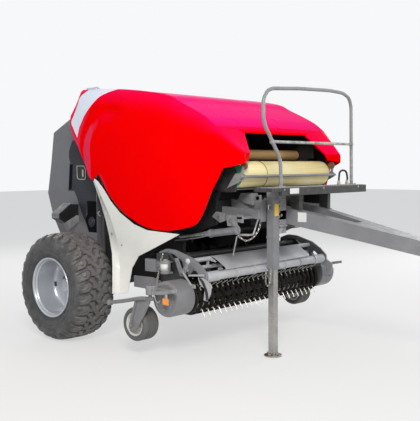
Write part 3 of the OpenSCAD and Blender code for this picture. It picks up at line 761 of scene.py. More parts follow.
@dataclass
class SideHood:
    """Large side hood that lifts on hinges at its top edge.

    Attributes:
        side: Side of the machine.
        stations: X, top Z, bottom Z, inset of the top edge and inset of the belly.
        section: Share of the height and share of the bulge, from the top edge down.
        nose: Front face of the nose, from its outer edge inward: X, inset, drop.
        valley: Line of the long hollow round the rear flank, as X and Z.
        crease: Line of the short fold on the nose.
        valley_depth: Depth of the hollow at its line.
        spacing: Largest gap between two rows of the skin.
        sweep_x: Station from which the lower edge is one smooth sweep.
    """

    side: Side
    stations: Sequence[Sequence[float]] = (
        (-262, 2136, 2000, -41, 60), (-190, 2250, 1880, -12, 50), (-120, 2370, 1800, 0, 42),
        (-30, 2367, 1665, 0, 26), (60, 2363, 1540, 0, 10), (130, 2360, 1492, 0, 0), (180, 2357, 1524, 0, 0),
        (222, 2354, 1552, 0, 0), (290, 2349, 1476, 0, 0), (380, 2341, 1360, 0, 0), (546, 2325, 1223, 0, 0),
        (749, 2296, 1122, 0, 0), (945, 2263, 1069, 0, 0), (1134, 2204, 1062, 0, 5), (1316, 2123, 1089, 0, 15),
        (1469, 2048, 1138, 0, 32), (1550, 1995, 1270, 0, 48), (1604, 1955, 1400, 0, 61),
        (1692, 1872, 1602, 28, 120), (1780, 1794, 1618, 64, 160), (1859, 1724, 1644, 100, 208))
    section: Sequence[Flat] = ((0, 0), (0.015, 0.17), (0.04, 0.36), (0.08, 0.54), (0.14, 0.70), (0.22, 0.82),
                               (0.34, 0.92), (0.5, 0.975), (0.68, 1.0), (0.88, 0.97), (1.0, 0.9))
    nose: Sequence[Sequence[Point]] = (
        ((1604, 0, 0), (1734, 50, 122), (1859, 100, 231), (1850, 104, 305)),
        ((1625, 240, 22), (1724, 173, 131), (1822, 170, 233), (1822, 150, 300)),
        ((1636, 350, 53), (1711, 296, 140), (1788, 242, 230), (1802, 202, 291)))
    valley: Sequence[Flat] = ((640, 2126), (530, 2134), (418, 2144), (309, 2146), (215, 2123), (150, 2075),
                              (90, 2020), (38, 1960), (-5, 1900), (-32, 1840), (-42, 1775), (-28, 1700),
                              (6, 1608), (70, 1500))
    crease: Sequence[Flat] = ((1540, 1870), (1581, 1832), (1618, 1765), (1669, 1722), (1745, 1707))
    valley_depth: float = 20.0
    spacing: float = 26.0
    sweep_x: float = 290.0

    @staticmethod
    def beside(line: Sequence[Flat], x: float, z: float) -> tuple[float, float]:
        """Distance of a point from a line and the share of the line where it is nearest.

        Args:
            line: Points of the line as (x, z).
            x: Station of the point.
            z: Height of the point.

        Returns:
            The distance, positive on the left of the line's run, and the share from 0 to 1.
        """
        best = (1e9, 0.0)
        for i, (a, b) in enumerate(zip(line, line[1:])):
            run = Vector(b) - Vector(a)
            off = Vector((x, z)) - Vector(a)
            t = min(1.0, max(0.0, off.dot(run) / run.length_squared))
            gap = (off - run * t).length
            if gap < abs(best[0]):
                left = run.x * off.y - run.y * off.x >= 0
                best = (gap if left else -gap, (i + t) / (len(line) - 1))
        return best

    def width(self, x: float, z: float, y: float) -> float:
        """Half width of the skin after its pressed relief.

        Args:
            x: Station.
            z: Height.
            y: Half width of the plain skin.

        Returns:
            The half width with the valley round the rear flank and the small crease of the nose.
        """
        gap, share = self.beside(self.valley, x, z)
        if gap > 0:
            sunk = self.valley_depth * (1 - smoothstep(0, 150, gap))
        else:
            sunk = self.valley_depth * (1 - 0.7 * smoothstep(0, 48, -gap))
        sunk *= smoothstep(0.0, 0.25, share) * (1 - smoothstep(0.84, 0.99, share))
        gap, share = self.beside(self.crease, x, z)
        fold = 9 * math.exp(-(gap / 26) ** 2) * math.sin(math.pi * share)
        return y - sunk - fold

    def rows(self) -> list[list[Point]]:
        """Grid of the skin from the rear to the front and from the top edge down."""
        across = through([(0, *p) for p in self.section], 5)
        stations: list[float] = []
        for a, b in zip(self.stations, self.stations[1:]):
            count = max(1, round((b[0] - a[0]) / self.spacing))
            stations += [lerp(a[0], b[0], k / count) for k in range(count)]
        stations.append(self.stations[-1][0])
        belly = through([(s[0], s[4]) for s in self.stations], 5)
        sweep = through([(s[0], s[2]) for s in self.stations if self.sweep_x <= s[0] <= FRONT_X], 6)
        grid = []
        for x in stations:
            top = roof_height(x) if REAR_X <= x <= FRONT_X else table(self.stations, 1, x)
            bottom = table(sweep, 1, x) if self.sweep_x <= x <= FRONT_X else table(self.stations, 2, x)
            inner = HINGE_Y - table(self.stations, 3, x)
            outer = HOOD_Y - table(belly, 1, x)
            line = []
            for _, h, share in across:
                z = lerp(top, bottom, h)
                line.append((x, self.width(x, z, lerp(inner, outer, share)), z))
            x0, y0, z0 = line[-1]
            lip = min(14.0, (top - bottom) * 0.2)
            line += [(x0, y0 - 5, z0 - 1.5), (x0, y0 - 14, z0 + lip * 0.4), (x0, y0 - 26, z0 + lip)]
            grid.append(line)
        return grid

    def build(self) -> None:
        """Builds the hood skin with its nose, a black sheet inside it as painted shade, the hinge knuckles
        and the bars inside.
        """
        tag = self.side.tag
        body = f"side_hood_{tag}"
        skin = Shape(self.side)
        grid = self.rows()
        skin.sheet(grid)
        edge = [row[0] for row in grid if row[0][0] >= FRONT_X - 1]
        faces = [[(p[0], HINGE_Y - p[1], FRONT_Z - p[2]) for p in col] for col in self.nose]
        down = [through(col[:3], 6) + [col[3]] for col in faces]
        outer = [edge[min(len(edge) - 1, round(k * (len(edge) - 1) / 12))] for k in range(13)] + [down[0][-1]]
        cols = [outer, down[1], down[2]]
        ways = [[tuple(lerp(cols[i][k][n], cols[i + 1][k][n], t) for n in range(3)) for k in range(14)]
                for i in (0, 1) for t in (0, 0.25, 0.5, 0.75)] + [down[2]]
        skin.sheet(ways)
        back = [(p[0] - 14, p[1] + 4, p[2] - 8) for p in down[2]]
        skin.sheet([down[2], back])
        under = [w[-1] for w in ways]
        skin.sheet([under, [(p[0] - 22, p[1], p[2] + 4) for p in under]])
        bmesh.ops.remove_doubles(skin.mesh, verts=skin.mesh.verts[:], dist=0.0012)
        skin.piece(f"hood_skin_{tag}", Palette.HOOD, body, (f"side_hood_{tag}",), crease=38,
                   thickness=5, bevel=6, steps=3)
        # A black sheet just inside the skin: painted shade for the hood's shaded inside.
        shade_sheet = Shape(self.side)
        shade_sheet.sheet([[(p[0], p[1] - 14, p[2] - (6 if j < 18 else 0)) for j, p in enumerate(row[:-3])][4:]
                     for row in grid if 200 <= row[0][0] <= FRONT_X])
        shade_sheet.piece(f"hood_shade_sheet_{tag}", Palette.BLACK, body, thickness=2, crease=50)
        hinge = Shape(self.side)
        hinge.turned([(4.4, -38), (7, -38), (7, 80), (4.4, 80)], (0, *HINGE_AXIS), Axis.FORWARD, 24)
        hinge.block((-36, 78), (801, 806), (2352, 2379))
        hinge.bolts([(x, 806, 2362) for x in (-18, 20, 58)], 6, 6)
        hinge.piece(f"hood_hinge_{tag}", Palette.HINGE, body, bevel=1)
        inner = Shape(self.side)
        bars = [[(150, 850, 2200), (420, 875, 1900), (620, 878, 1500), (760, 880, 1200)],
                [(-60, 850, 2230), (500, 852, 2210), (1100, 850, 2080), (1480, 830, 1930)],
                [(420, 875, 1900), (900, 878, 1760), (1420, 862, 1600)]]
        for bar in bars:
            inner.pipe(through(bar, 8), 14, 10)
        inner.piece(f"hood_inner_bars_{tag}", Palette.DARK, body)


@dataclass
class Roof:
    """Middle panel between the side hoods, with its front lip and hinge leaves.

    Attributes:
        half: Half width of the panel.
        lip_edge: Y, X and Z of the lip's front edge.
    """

    half: float = 790.0
    lip_edge: Sequence[Sequence[float]] = ((0, 1628, 1907), (440, 1628, 1909), (450, 1634, 1905),
                                           (560, 1623, 1935), (680, 1612, 1947), (790, 1604, 1955))

    def lip_line(self, y: float) -> list[Point]:
        """Line of the front lip from the panel to the noses' upper edge, at one half width."""
        x, z = table(self.lip_edge, 1, abs(y)), table(self.lip_edge, 2, abs(y))
        top = FRONT_Z + 4
        return [(1590, y, roof_height(1590) - 1), (1600, y, top - 3),
                (lerp(1604, x, 0.5), y, lerp(top - 6, z, 0.38)), (x, y, z),
                (x - 2, y, z - 7), (x - 14, y, z - 9)]

    def build(self) -> None:
        """Builds the panel, the lip and the hinge leaves."""
        top = Shape()
        stations = [(-80.0, roof_height(-80))] + [p for p in TOP_CURVE if p[0] > -70]
        across = [-1, -0.985, -0.93, -0.8, -0.6, -0.4, -0.2, 0, 0.2, 0.4, 0.6, 0.8, 0.93, 0.985, 1]
        x, z = stations[0]
        rows = [[(x - 4, self.half * u, z - 26) for u in across]]
        rows += [[(x, self.half * u, z - 2.5 * (u * u)) for u in across] for x, z in stations]
        top.sheet(rows)
        top.piece("roof_panel", Palette.HOOD, "chassis", ("roof",), thickness=14, bevel=3, crease=30)
        lip = Shape()
        lip.sheet([self.lip_line(self.half * u) for u in (k / 24 - 1 for k in range(49))])
        lip.piece("roof_lip", Palette.HOOD, "chassis", thickness=4, bevel=2, crease=50)
        leaves = Shape()
        y, z = HINGE_AXIS
        for s in (1, -1):
            for x in (-60, 82):
                leaves.turned([(0, 0), (7, 0), (7, 20), (0, 20)], (x, s * y, z), Axis.FORWARD, 24)
                leaves.block((x, x + 20), (s * 772, s * 794), (2350, 2376))
            leaves.turned([(0, -66), (4, -66), (4, 108), (0, 108)], (0, s * y, z), Axis.FORWARD, 16)
        leaves.piece("roof_hinge_leaves", Palette.HINGE, "chassis", bevel=1)


@dataclass
class Shield:
    """Pale moulded shield between the hood and the wheel, folded along one line.

    Attributes:
        side: Side of the machine.
        rows: Z, then X and outward shift of the rear edge, of the fold and of the front edge.
    """

    side: Side
    rows: Sequence[Sequence[float]] = (
        (1505, 166, -14, 176, 0, 186, 0), (1480, 132, -26, 180, 0, 232, 0), (1400, 163, -36, 240, 0, 320, 0),
        (1300, 206, -42, 305, 0, 411, 0), (1200, 249, -44, 375, 0, 535, 0), (1100, 292, -42, 430, 0, 730, 0),
        (1055, 312, -38, 450, 0, 905, 0), (1042, 320, -36, 455, 0, 1308, 0), (985, 350, -28, 480, 0, 1180, 0),
        (900, 400, -3, 505, 0, 985, 0), (817, 455, 27, 530, 7, 788, 0), (701, 530, 87, 565, 32, 706, 7),
        (468, 560, 117, 600, 67, 661, 22))

    def grid(self) -> list[list[Point]]:
        """Grid of the shield from the top down and from its rear edge forward."""
        made = []
        for a, b in zip(self.rows, self.rows[1:]):
            count = max(1, round((a[0] - b[0]) / 24))
            for k in range(count + (b is self.rows[-1])):
                t = min(1.0, k / count)
                z, x0, y0, x1, y1, x2, y2 = (lerp(p, q, t) for p, q in zip(a, b))
                line = []
                for u in (0, 0.25, 0.5, 0.75, 0.9):
                    line.append((lerp(x0, x1, u), SHIELD_Y + lerp(y0, y1, u) - 3 * math.sin(math.pi * u), z))
                for u in (0, 0.12, 0.3, 0.5, 0.7, 0.9, 1):
                    line.append((lerp(x1, x2, u), SHIELD_Y + lerp(y1, y2, u), z))
                made.append(line)
        return made

    def build(self) -> None:
        """Builds the shield with a rolled rim, its fasteners and the seal along the hood."""
        tag = self.side.tag
        skin = Shape(self.side)
        grid = self.grid()
        grid = [[(row[0][0] + 9, row[0][1] - 16, row[0][2])] + row for row in grid]
        skin.sheet(grid)
        skin.piece(f"shield_skin_{tag}", Palette.SHIELD, "chassis", (f"shield_{tag}",), thickness=7,
                   bevel=4, steps=3, crease=14)
        trim = Shape(self.side)
        rim = [(p[-1][0] - 6, p[-1][1] - 14, p[-1][2] + 4) for p in grid if p[-1][2] > 1030]
        trim.pipe(rim, 9, 8)
        trim.piece(f"hood_seal_{tag}", Palette.SEAL_AND_HOLE_SHADE, "chassis")
        pins = Shape(self.side)
        pins.bolts([(250, 905, 1330), (420, 917, 1000), (560, 917, 900)], 7, 7)
        pins.pipe(rounded([(246, 912, 1195), (238, 930, 1188), (262, 934, 1160), (268, 914, 1156)], 8),
                  3.2, 8)
        pins.piece(f"shield_fasteners_{tag}", Palette.ZINC, "chassis", bevel=0.6)


# Wheels


@dataclass
class MainWheel:
    """Wide implement wheel: block tread, deep dished rim and wheel nuts.

    Attributes:
        side: Side of the machine.
        track: Distance of the wheel's middle from the middle of the machine.
        axle_z: Height of the axle.
        bead: Radius of the rim's seat.
        lugs: Lugs round the tyre on each side.
        tread_depth: Depth of the grooves.
        flank_y: Half width from which grooves run out into the side wall.
        wall: Radius and half width of the side wall, from the rim outward.
        crown: Half width and radius of the tread.
    """

    side: Side
    track: float = 1120.0
    axle_z: float = 500.0
    bead: float = 267.0
    lugs: int = 28
    tread_depth: float = 24.0
    flank_y: float = 180.0
    wall: Sequence[Flat] = ((268, 170), (277, 183), (296, 196), (321, 208), (360, 216), (395, 219),
                            (422, 216), (446, 207), (463, 195), (475, 183))
    crown: Sequence[Flat] = ((0, 500), (70, 500), (105, 499), (135, 495), (150, 491), (168, 483), (183, 475))

    def tread(self, turn: float, y: float) -> float:
        """Height of the tread above its grooves, from 0 to 1.

        Args:
            turn: Place round the tyre in lug pitches.
            y: Distance from the middle of the tread, outward positive.

        Returns:
            The share of the tread depth.
        """
        side = 1 if y >= 0 else -1
        wide = abs(y)
        phase = turn + (0.5 if side < 0 else 0.0)
        place = (phase + (wide - 130) / 150 * 0.30) % 1.0
        zig = 14 * math.sin(math.tau * (turn + 0.25 * side))
        shoulder = smoothstep(101 + zig, 108 + zig, wide)
        lug = smoothstep(0.0, 0.06, place) * (1 - smoothstep(0.70, 0.77, place))
        lug *= 1 - smoothstep(205, 219, wide) * 0.7
        ledge = 1 - 0.34 * smoothstep(0.36, 0.41, place) * smoothstep(140, 158, wide)
        near = smoothstep(118, 126, wide) * (1 - smoothstep(150, 160, wide))
        notch = 1 - 0.5 * math.exp(-((place - 0.3) / 0.035) ** 2) * near
        rib = 1 - smoothstep(27, 32, abs(y - 17 * math.sin(math.tau * turn)))
        slit = 1 - 0.55 * math.exp(-((((turn * 2) % 1.0) - 0.5) / 0.05) ** 2)
        off = abs(wide - 67 - zig * 0.9)
        cut = 1 - 0.85 * (1 - smoothstep(0.035, 0.075, abs((phase + 0.3) % 1.0 - 0.5)))
        block = (1 - smoothstep(23, 28, off)) * cut
        return max(lug * shoulder * ledge * notch, rib * slit, block)

    def skin(self, across: int, per_lug: int) -> Shape:
        """Tyre as a fine skin.

        Args:
            across: Points across the crown.
            per_lug: Points round each lug pitch.

        Returns:
            The tyre's mesh.
        """
        shape = Shape(self.side)
        wall = through(self.wall, 2)
        edge = wall[-1][1]
        top = [(table(self.crown, 1, abs(y)), y)
               for y in (edge - 2 * edge * k / across for k in range(1, across))]
        profile = wall + top + [(a, -b) for a, b in reversed(wall)]
        count = self.lugs * per_lug
        inner = (self.bead + 1, -160), (self.bead + 1, 160)
        grid = []
        for i in range(count):
            turn = i / per_lug
            cosine, sine = math.cos(math.tau * i / count), math.sin(math.tau * i / count)
            line = []
            for radius, y in profile:
                groove = 1 - self.tread(turn, y)
                depth = self.tread_depth * smoothstep(418, 470, radius)
                flank = 0.45 if abs(y) >= self.flank_y else 0.0
                base = radius - (1 - flank) * depth * groove
                y_in = y - math.copysign(flank * depth * groove, y)
                line.append((base * cosine, self.track + y_in, self.axle_z + base * sine))
            line += [(r * cosine, self.track + y, self.axle_z + r * sine) for r, y in inner]
            grid.append(line)
        shape.sheet(grid, around=True, along=True)
        return shape

    def build(self) -> None:
        """Builds the tyre, the rim and the nuts."""
        tag = self.side.tag
        body = f"wheel_{tag}"
        centre = (0, self.track, self.axle_z)
        self.skin(56, 18).piece(f"tyre_tread_{tag}", Palette.TYRE, body, (f"tyre_{tag}",), crease=46)
        rings = Shape(self.side)
        for radius, y in ((296, 196), (309, 202.5), (350, 214.5), (388, 218.5)):
            rings.turned([(radius - 3, y - 4), (radius - 1.5, y + 2), (radius + 1.5, y + 2),
                          (radius + 3, y - 4)], centre, sides=96)
        rings.piece(f"tyre_rings_{tag}", Palette.TYRE, body)
        rim = Shape(self.side)
        b = self.bead
        rolled = [(b, 174), (b + 7, 178), (b + 13, 184), (b + 14, 191), (b + 10, 197), (b + 2, 197),
                  (b - 5, 192), (b - 9, 184), (b - 10, 176), (b - 14, 172), (b - 19, 166), (b - 21, 156)]
        dish = [(b - 22, 60), (b - 25, 14), (b - 32, -14), (b - 48, -34), (190, -44), (150, -50), (118, -58),
                (95, -60), (46, -60)]
        back = [(46, -80), (120, -78), (200, -66), (b - 36, -52), (b - 22, -60), (b - 16, -180),
                (b + 4, -196), (b + 14, -190), (b + 12, -182), (b, -174), (b - 5, -60), (b - 5, 100)]
        rim.turned(through(rolled, 2) + through(dish, 3) + back, centre, sides=96)
        rim.piece(f"rim_dish_{tag}", Palette.SILVER, body, (f"rim_{tag}",), crease=32)
        nuts = Shape(self.side)
        nuts.bolt_circle((0, self.track - 52, self.axle_z), 135, 8, 13, 20, 22.5)
        nuts.turned([(0, -60), (88, -60), (88, -30), (80, -18),
                     (62, -8), (60, 14), (52, 22), (0, 24)], centre)
        nuts.piece(f"wheel_hub_{tag}", Palette.SILVER, body, bevel=1.5, slot="steel")
        # Black bars in the dish: painted shade of its hand holes, which are not cut.
        slot = Shape(self.side)
        for turn in (4, 184):
            arc = [math.radians(turn) + w for w in (-0.10, 0.0, 0.10)]
            slot.pipe([((b - 44) * math.cos(a), self.track - 28, self.axle_z + (b - 44) * math.sin(a))
                       for a in arc], 11, 10)
        slot.piece(f"rim_hole_shades_{tag}", Palette.BLACK, body)
        valve = Shape(self.side)
        a = math.radians(20)
        x, z = (b - 20) * math.cos(a), self.axle_z + (b - 20) * math.sin(a)
        valve.pipe([(x, self.track + 20, z), (x - 16, self.track + 36, z - 6),
                    (x - 22, self.track + 62, z - 9)], 5, 10)
        valve.pipe([(x - 22, self.track + 62, z - 9), (x - 23, self.track + 74, z - 9)], 7, 10)
        valve.piece(f"valve_{tag}", Palette.HOSE, body)


# Tailgate and rear lamps


@dataclass
class Tailgate:
    """Rear half of the bale chamber: covers with their plates and latches, and the ribbed back.

    Attributes:
        cover_y: Half width over the side covers.
        plate: Outline of the dark plate on a cover.
        slot: Corners of the slot in the plate, filled by a black plate as painted shade.
        latch: Outline of the latch's pad.
        gap: Outline of the dark opening above the pivot, filled by a black plate as painted shade.
        pivot: Middle of the pivot's disc.
        ribs: X and Z of each rib, and the X and Z of the way that the back's sheet runs there.
        rib: Section of a rib, along the sheet and out of it.
    """

    cover_y: float = 700.0
    body: str = "tailgate"
    plate: Sequence[Flat] = ((-429, 1886), (-487, 1782), (-489, 1712), (-472, 1660), (-418, 1660),
                             (-443, 1378), (-407, 1370), (-367, 1308), (-329, 1223), (-260, 1096),
                             (-232, 1085), (-208, 1277), (-75, 1277), (-70, 1886))
    slot: Sequence[Flat] = ((-478, 1650), (-424, 1654), (-449, 1381), (-506, 1376))
    latch: Sequence[Flat] = ((-348, 1627), (-236, 1627), (-212, 1600), (-212, 1493), (-330, 1493),
                             (-348, 1520))
    gap: Sequence[Flat] = ((-206, 1277), (-210, 1136), (-245, 1084), (-187, 966), (-64, 966), (-64, 1277))
    pivot: Flat = (-133, 1069)
    ribs: Sequence[Sequence[float]] = ((-600, 2054, 0.91, 0.415), (-786, 1820, -0.1644, 0.9864),
                                       (-849, 1500, -0.2118, 0.9773), (-842, 1222, 0.3162, 0.9487))
    rib: Sequence[Flat] = ((-36, -2), (-26, 16), (26, 16), (36, -2))

    def side_parts(self, side: Side) -> None:
        """Builds what sits on one side cover."""
        tag = side.tag
        plate = Shape(side)
        plate.prism(self.plate, self.cover_y + 0.3, self.cover_y + 6)
        spots = (-425, 1850), (-465, 1730), (-300, 1210), (-400, 1420)
        plate.bolts([(x, self.cover_y + 6, z) for x, z in spots], 5, 4)
        plate.piece(f"gate_plate_{tag}", Palette.GATE_DARK, self.body, bevel=2)
        # The slot and the opening are black plates: painted shade, with no hole cut.
        slot = Shape(side)
        mid_x, mid_z = (sum(way) / len(way) for way in zip(*self.slot))
        slot.prism([(lerp(mid_x, x, 0.86), lerp(mid_z, z, 0.95)) for x, z in self.slot],
                   self.cover_y + 0.3, self.cover_y + 2.5)
        slot.prism(self.gap, self.cover_y + 0.3, self.cover_y + 3)
        slot.piece(f"gate_slot_{tag}", Palette.SEAL_AND_HOLE_SHADE, self.body, bevel=0.8)
        rim = Shape(side)
        rim.pipe([(x, self.cover_y + 3, z) for x, z in rounded([*self.slot, self.slot[0]], 12)], 4, 8)
        rim.piece(f"gate_slot_rim_{tag}", Palette.GATE_DARK, self.body)
        pad = Shape(side)
        pad.prism(self.latch, self.cover_y + 6, self.cover_y + 12)
        pad.piece(f"gate_latch_pad_{tag}", Palette.BLACK, self.body, bevel=2)
        latch = Shape(side)
        latch.pipe([(x, self.cover_y + 13, z) for x, z in rounded([*self.latch, self.latch[0]], 18)], 4.5, 8)
        latch.block((-262, -240), (self.cover_y + 12, self.cover_y + 18), (1520, 1590))
        latch.piece(f"gate_latch_{tag}", Palette.ZINC, self.body, crease=50, slot="frame_grey")
        disc = Shape(side)
        x, z = self.pivot
        disc.turned([(0, 0.3), (50, 0.3), (52, 6), (48, 12), (34, 14), (30, 20), (16, 22), (0, 22)],
                    (x, self.cover_y, z))
        disc.bolt_circle((x, self.cover_y + 12, z), 40, 6, 4, 5)
        disc.piece(f"gate_pivot_disc_{tag}", Palette.GATE_DARK, self.body, bevel=1)

    def build(self) -> None:
        """Builds the side parts and the ribs, reflectors and reflector pads of the back."""
        for side in Side:
            self.side_parts(side)
        ribs = Shape()
        for x, z, run_x, run_z in self.ribs:
            ribs.prism([(x + run_x * a - run_z * b, z + run_z * a + run_x * b) for a, b in self.rib],
                       -596, 596)
        ribs.piece("gate_back_ribs", Palette.GATE, self.body, bevel=5, steps=3)
        lights, pads = Shape(), Shape()
        for y in (470, -470):
            lights.turned([(0, -872), (38, -872), (40, -878), (36, -884), (0, -885)],
                          (0, y, 1430), Axis.FORWARD)
            pads.turned([(0, -852), (50, -852), (50, -872), (0, -872)], (0, y, 1430), Axis.FORWARD)
        lights.piece("gate_reflectors", Palette.RED_LENS, self.body)
        pads.piece("gate_reflector_pads", Palette.GATE_DARK, self.body, bevel=2)


@dataclass
class RearLamp:
    """Dark lamp housing beside the tailgate, with a ribbed sloping top and lenses behind."""

    side: Side
    outline: Sequence[Flat] = ((700.3, 1075), (700.3, 1238), (800, 1245),
                               (940, 1150), (940, 1105), (850, 1050))
    rear_x: float = -480.0
    front_x: float = -350.0

    def build(self) -> None:
        """Builds the housing, its ribs, the lenses and the pale plate in front."""
        tag = self.side.tag
        box = Shape(self.side)
        box.prism(self.outline, self.rear_x, self.front_x, Axis.FORWARD)
        box.piece(f"lamp_housing_{tag}", Palette.BLACK, "tailgate", (f"lamp_{tag}",), bevel=6, steps=3,
                  slot="lamp_black")
        # The ribs are a lighter grey than the black housing, as painted highlights along the rib tops.
        ribs = Shape(self.side)
        for k in range(8):
            x = self.rear_x + 12 + 15 * k
            ribs.prism([(790, 1240), (800, 1252), (948, 1156), (948, 1108), (936, 1108), (936, 1146)],
                       x, x + 6, Axis.FORWARD)
        ribs.prism([(705, 1238), (705, 1247), (800, 1254), (806, 1246)],
                   self.rear_x, self.front_x, Axis.FORWARD)
        ribs.piece(f"lamp_ribs_{tag}", Palette.FRAME, "tailgate", bevel=1.2, slot="lamp_black")
        lens = Shape(self.side)
        lens.prism([(722, 1088), (722, 1222), (796, 1228), (846, 1194), (846, 1066)],
                   self.rear_x - 7, self.rear_x, Axis.FORWARD)
        lens.piece(f"lamp_lens_red_{tag}", Palette.RED_LENS, "tailgate", bevel=2.5, slot="lamp_black")
        side_lens = Shape(self.side)
        side_lens.prism([(852, 1064), (852, 1190), (924, 1142), (924, 1110)],
                        self.rear_x - 7, self.rear_x, Axis.FORWARD)
        side_lens.piece(f"lamp_lens_amber_{tag}", Palette.ORANGE, "tailgate", bevel=2.5)
        plate = Shape(self.side)
        plate.prism([(893, 1052), (731, 1130), (700.5, 1125), (700.5, 1062), (731, 1048), (843, 974)],
                    self.front_x + 0.3, self.front_x + 7, Axis.FORWARD)
        plate.bolts([(self.front_x + 7, 760, 1096)], 5, 5, Axis.FORWARD)
        plate.piece(f"lamp_plate_{tag}", Palette.PALE, "tailgate", bevel=1.5)


# Pickup

REEL_X, REEL_Z = 1360.0, 490.0
PICKUP_HALF = 900.0
BAND_SPAN = PICKUP_HALF - 50.0
DRUM = (1361.0, 0.0, 522.0)
CASTOR_AXIS = (1235.0, 1195.0, 0.0)
ROLLER_X, ROLLER_Z = 1545.0, 690.0


@dataclass
class Pickup:
    """Pickup frame with its stripper bands, end drums, chains and covers.

    Attributes:
        body: Body of the frame that it rides on.
        bands: Number of stripper bands.
        band_r: Radius of a band round the reel.
        band_back: How far a band's legs run to the rear.
        section: Section of a band, across it and out of it.
        shaft: X and Z of the cross shaft.
        can: X and Y of the accumulator.
    """

    body: str = "pickup"
    bands: int = 25
    band_r: float = 139.0
    band_back: float = 260.0
    section: Sequence[Flat] = ((-20, -9), (-19, -4), (-14, 0), (14, 0), (19, -4), (20, -9), (16, -9),
                               (13, -5), (-13, -5), (-16, -9))
    shaft: Flat = (1140.0, 820.0)
    can: Flat = (1186.0, 968.0)

    def band(self, shape: Shape, y: float) -> None:
        """Adds one bent band round the reel."""
        path = [(REEL_X - self.band_back, REEL_Z + self.band_r, 0.0, 1.0)]
        for k in range(19):
            a = math.radians(90 - 10 * k)
            path.append((REEL_X + self.band_r * math.cos(a), REEL_Z + self.band_r * math.sin(a),
                         math.cos(a), math.sin(a)))
        path.append((REEL_X - self.band_back, REEL_Z - self.band_r, 0.0, -1.0))
        shape.sheet([[(x + nx * h, y + w, z + nz * h) for w, h in self.section] for x, z, nx, nz in path],
                    around=True)

    def build(self) -> None:
        """Builds everything that lifts with the pickup."""
        half = PICKUP_HALF
        pitch = 2 * BAND_SPAN / (self.bands - 1)
        bands = Shape()
        for i in range(self.bands):
            self.band(bands, pitch * i - BAND_SPAN)
        bands.piece("stripper_bands", Palette.BAND, self.body, ("pickup_bands",), crease=50)
        # The pan behind the reel closes the pickup at the back; its black is painted shade for the shaded
        # space there.
        pan = Shape()
        for low, high in ((610, 636), (344, 370)):
            pan.block((1078, 1115), (-half + 0.5, half - 0.5), (low, high))
        pan.block((1080, 1086), (-half + 0.5, half - 0.5), (368, 612))
        pan.bolts([(1115, y, 624) for y in range(-850, 851, 142)], 6, 5, Axis.FORWARD)
        pan.piece("pickup_back_pan", Palette.BLACK, self.body, bevel=2)
        carrier = Shape()
        carrier.rod(*self.shaft, 30, -half - 4, half + 4, soft=3)
        for s in (1, -1):
            carrier.prism(rounded([(1090, 340), (1080, 870), (1180, 870), (1380, 700),
                                   (1420, 560), (1420, 420), (1384, 372), (1140, 330)], 20, 4, closed=True),
                          s * half, s * (half + 16))
            carrier.prism([(1020, 800), (1020, 860), (1100, 870), (1100, 790)], s * half, s * (half + 16))
            carrier.rod(1050, 830, 20, s * 868, s * (half + 12), soft=2)
            carrier.prism(rounded([(690, 690), (690, 810), (1170, 858),
                                   (1170, 780), (1000, 770), (810, 690)], 22, 4, closed=True),
                          s * 650.5, s * 689)
        carrier.piece("pickup_carrier", Palette.DARK, self.body, ("pickup_frame",), bevel=2.5)
        for side in Side:
            self.frame_side(side)
            self.drum(side)
            self.small_parts(side)

    def frame_side(self, side: Side) -> None:
        """Builds flanges and bolts on one side plate of the pickup's frame."""
        rim = Shape(side)
        outline = [(1094, 346), (1084, 560), (1084, 850), (1176, 864),
                   (1376, 696), (1416, 560), (1416, 424), (1380, 380)]
        rim.pipe([(x, 916, z) for x, z in rounded(outline, 24)], 6, 8)
        rim.bolts([(x, 920, z) for x, z in ((1120, 700), (1120, 480), (1230, 760), (1300, 690), (1150, 380))],
                  8, 7)
        x, z = self.shaft
        rim.turned([(0, 920), (46, 920), (46, 926), (34, 930), (0, 930)], (x, 0, z))
        rim.piece(f"pickup_plate_trim_{side.tag}", Palette.DARK, self.body, bevel=1)

    def drum(self, side: Side) -> None:
        """Builds the end drum that pushes the crop inward, and the block that carries the castor."""
        tag = side.tag
        drum = Shape(side)
        drum.turned([(0, 935), (132, 935), (143, 938), (149, 944), (150, 952), (150, 1122), (148, 1134),
                     (142, 1144), (131, 1149), (118, 1150), (114, 1146), (60, 1145), (56, 1149), (0, 1149)],
                    DRUM, sides=72)
        drum.turned([(0, 920.5), (60, 920.5), (60, 938), (0, 938)], DRUM)
        drum.bolt_circle((DRUM[0], 1145, DRUM[2]), 88, 6, 6, 5, 17.2)
        drum.piece(f"drum_shell_{tag}", Palette.FRAME, self.body, (f"side_drum_{tag}",), crease=28)
        socket = Shape(side)
        socket.turned([(17, 555), (34, 555), (38, 559), (38, 628), (34, 632), (17, 632)],
                      CASTOR_AXIS, Axis.UP)
        socket.prism([(1200, 1153), (1280, 1153), (1280, 1190), (1262, 1212), (1262, 1180), (1208, 1180),
                      (1208, 1190), (1198, 1190)], 556, 631, Axis.UP)
        socket.block((1235, 1470), (1146, 1186), (586, 611))
        socket.bolts([(1350, 1186, 598), (1430, 1186, 598)], 7, 6)
        socket.piece(f"castor_socket_{tag}", Palette.PALE, self.body, bevel=3)
        arm = Shape(side)
        arm.prism([(1276, 560), (1276, 590), (1400, 604), (1560, 634), (1560, 608), (1400, 574)], 1204, 1216)
        arm.block((1276, 1300), (1150, 1216), (590, 604))
        arm.piece(f"drum_guard_bar_{tag}", Palette.PALE, self.body, bevel=2)
        lens = Shape(side)
        lens.block((1398, 1462), (1204, 1213), (494, 546))
        lens.piece(f"drum_reflector_{tag}", Palette.ORANGE, self.body, bevel=2.5, slot="frame_grey")
        tab = Shape(side)
        tab.block((1416, 1444), (1199, 1204), (490, 592))
        tab.pipe(rounded([(1300, 1212, 566), (1318, 1216, 520),
                          (1352, 1216, 500), (1372, 1214, 524)], 16), 3, 8)
        tab.piece(f"drum_reflector_tab_{tag}", Palette.ZINC, self.body, bevel=0.8)

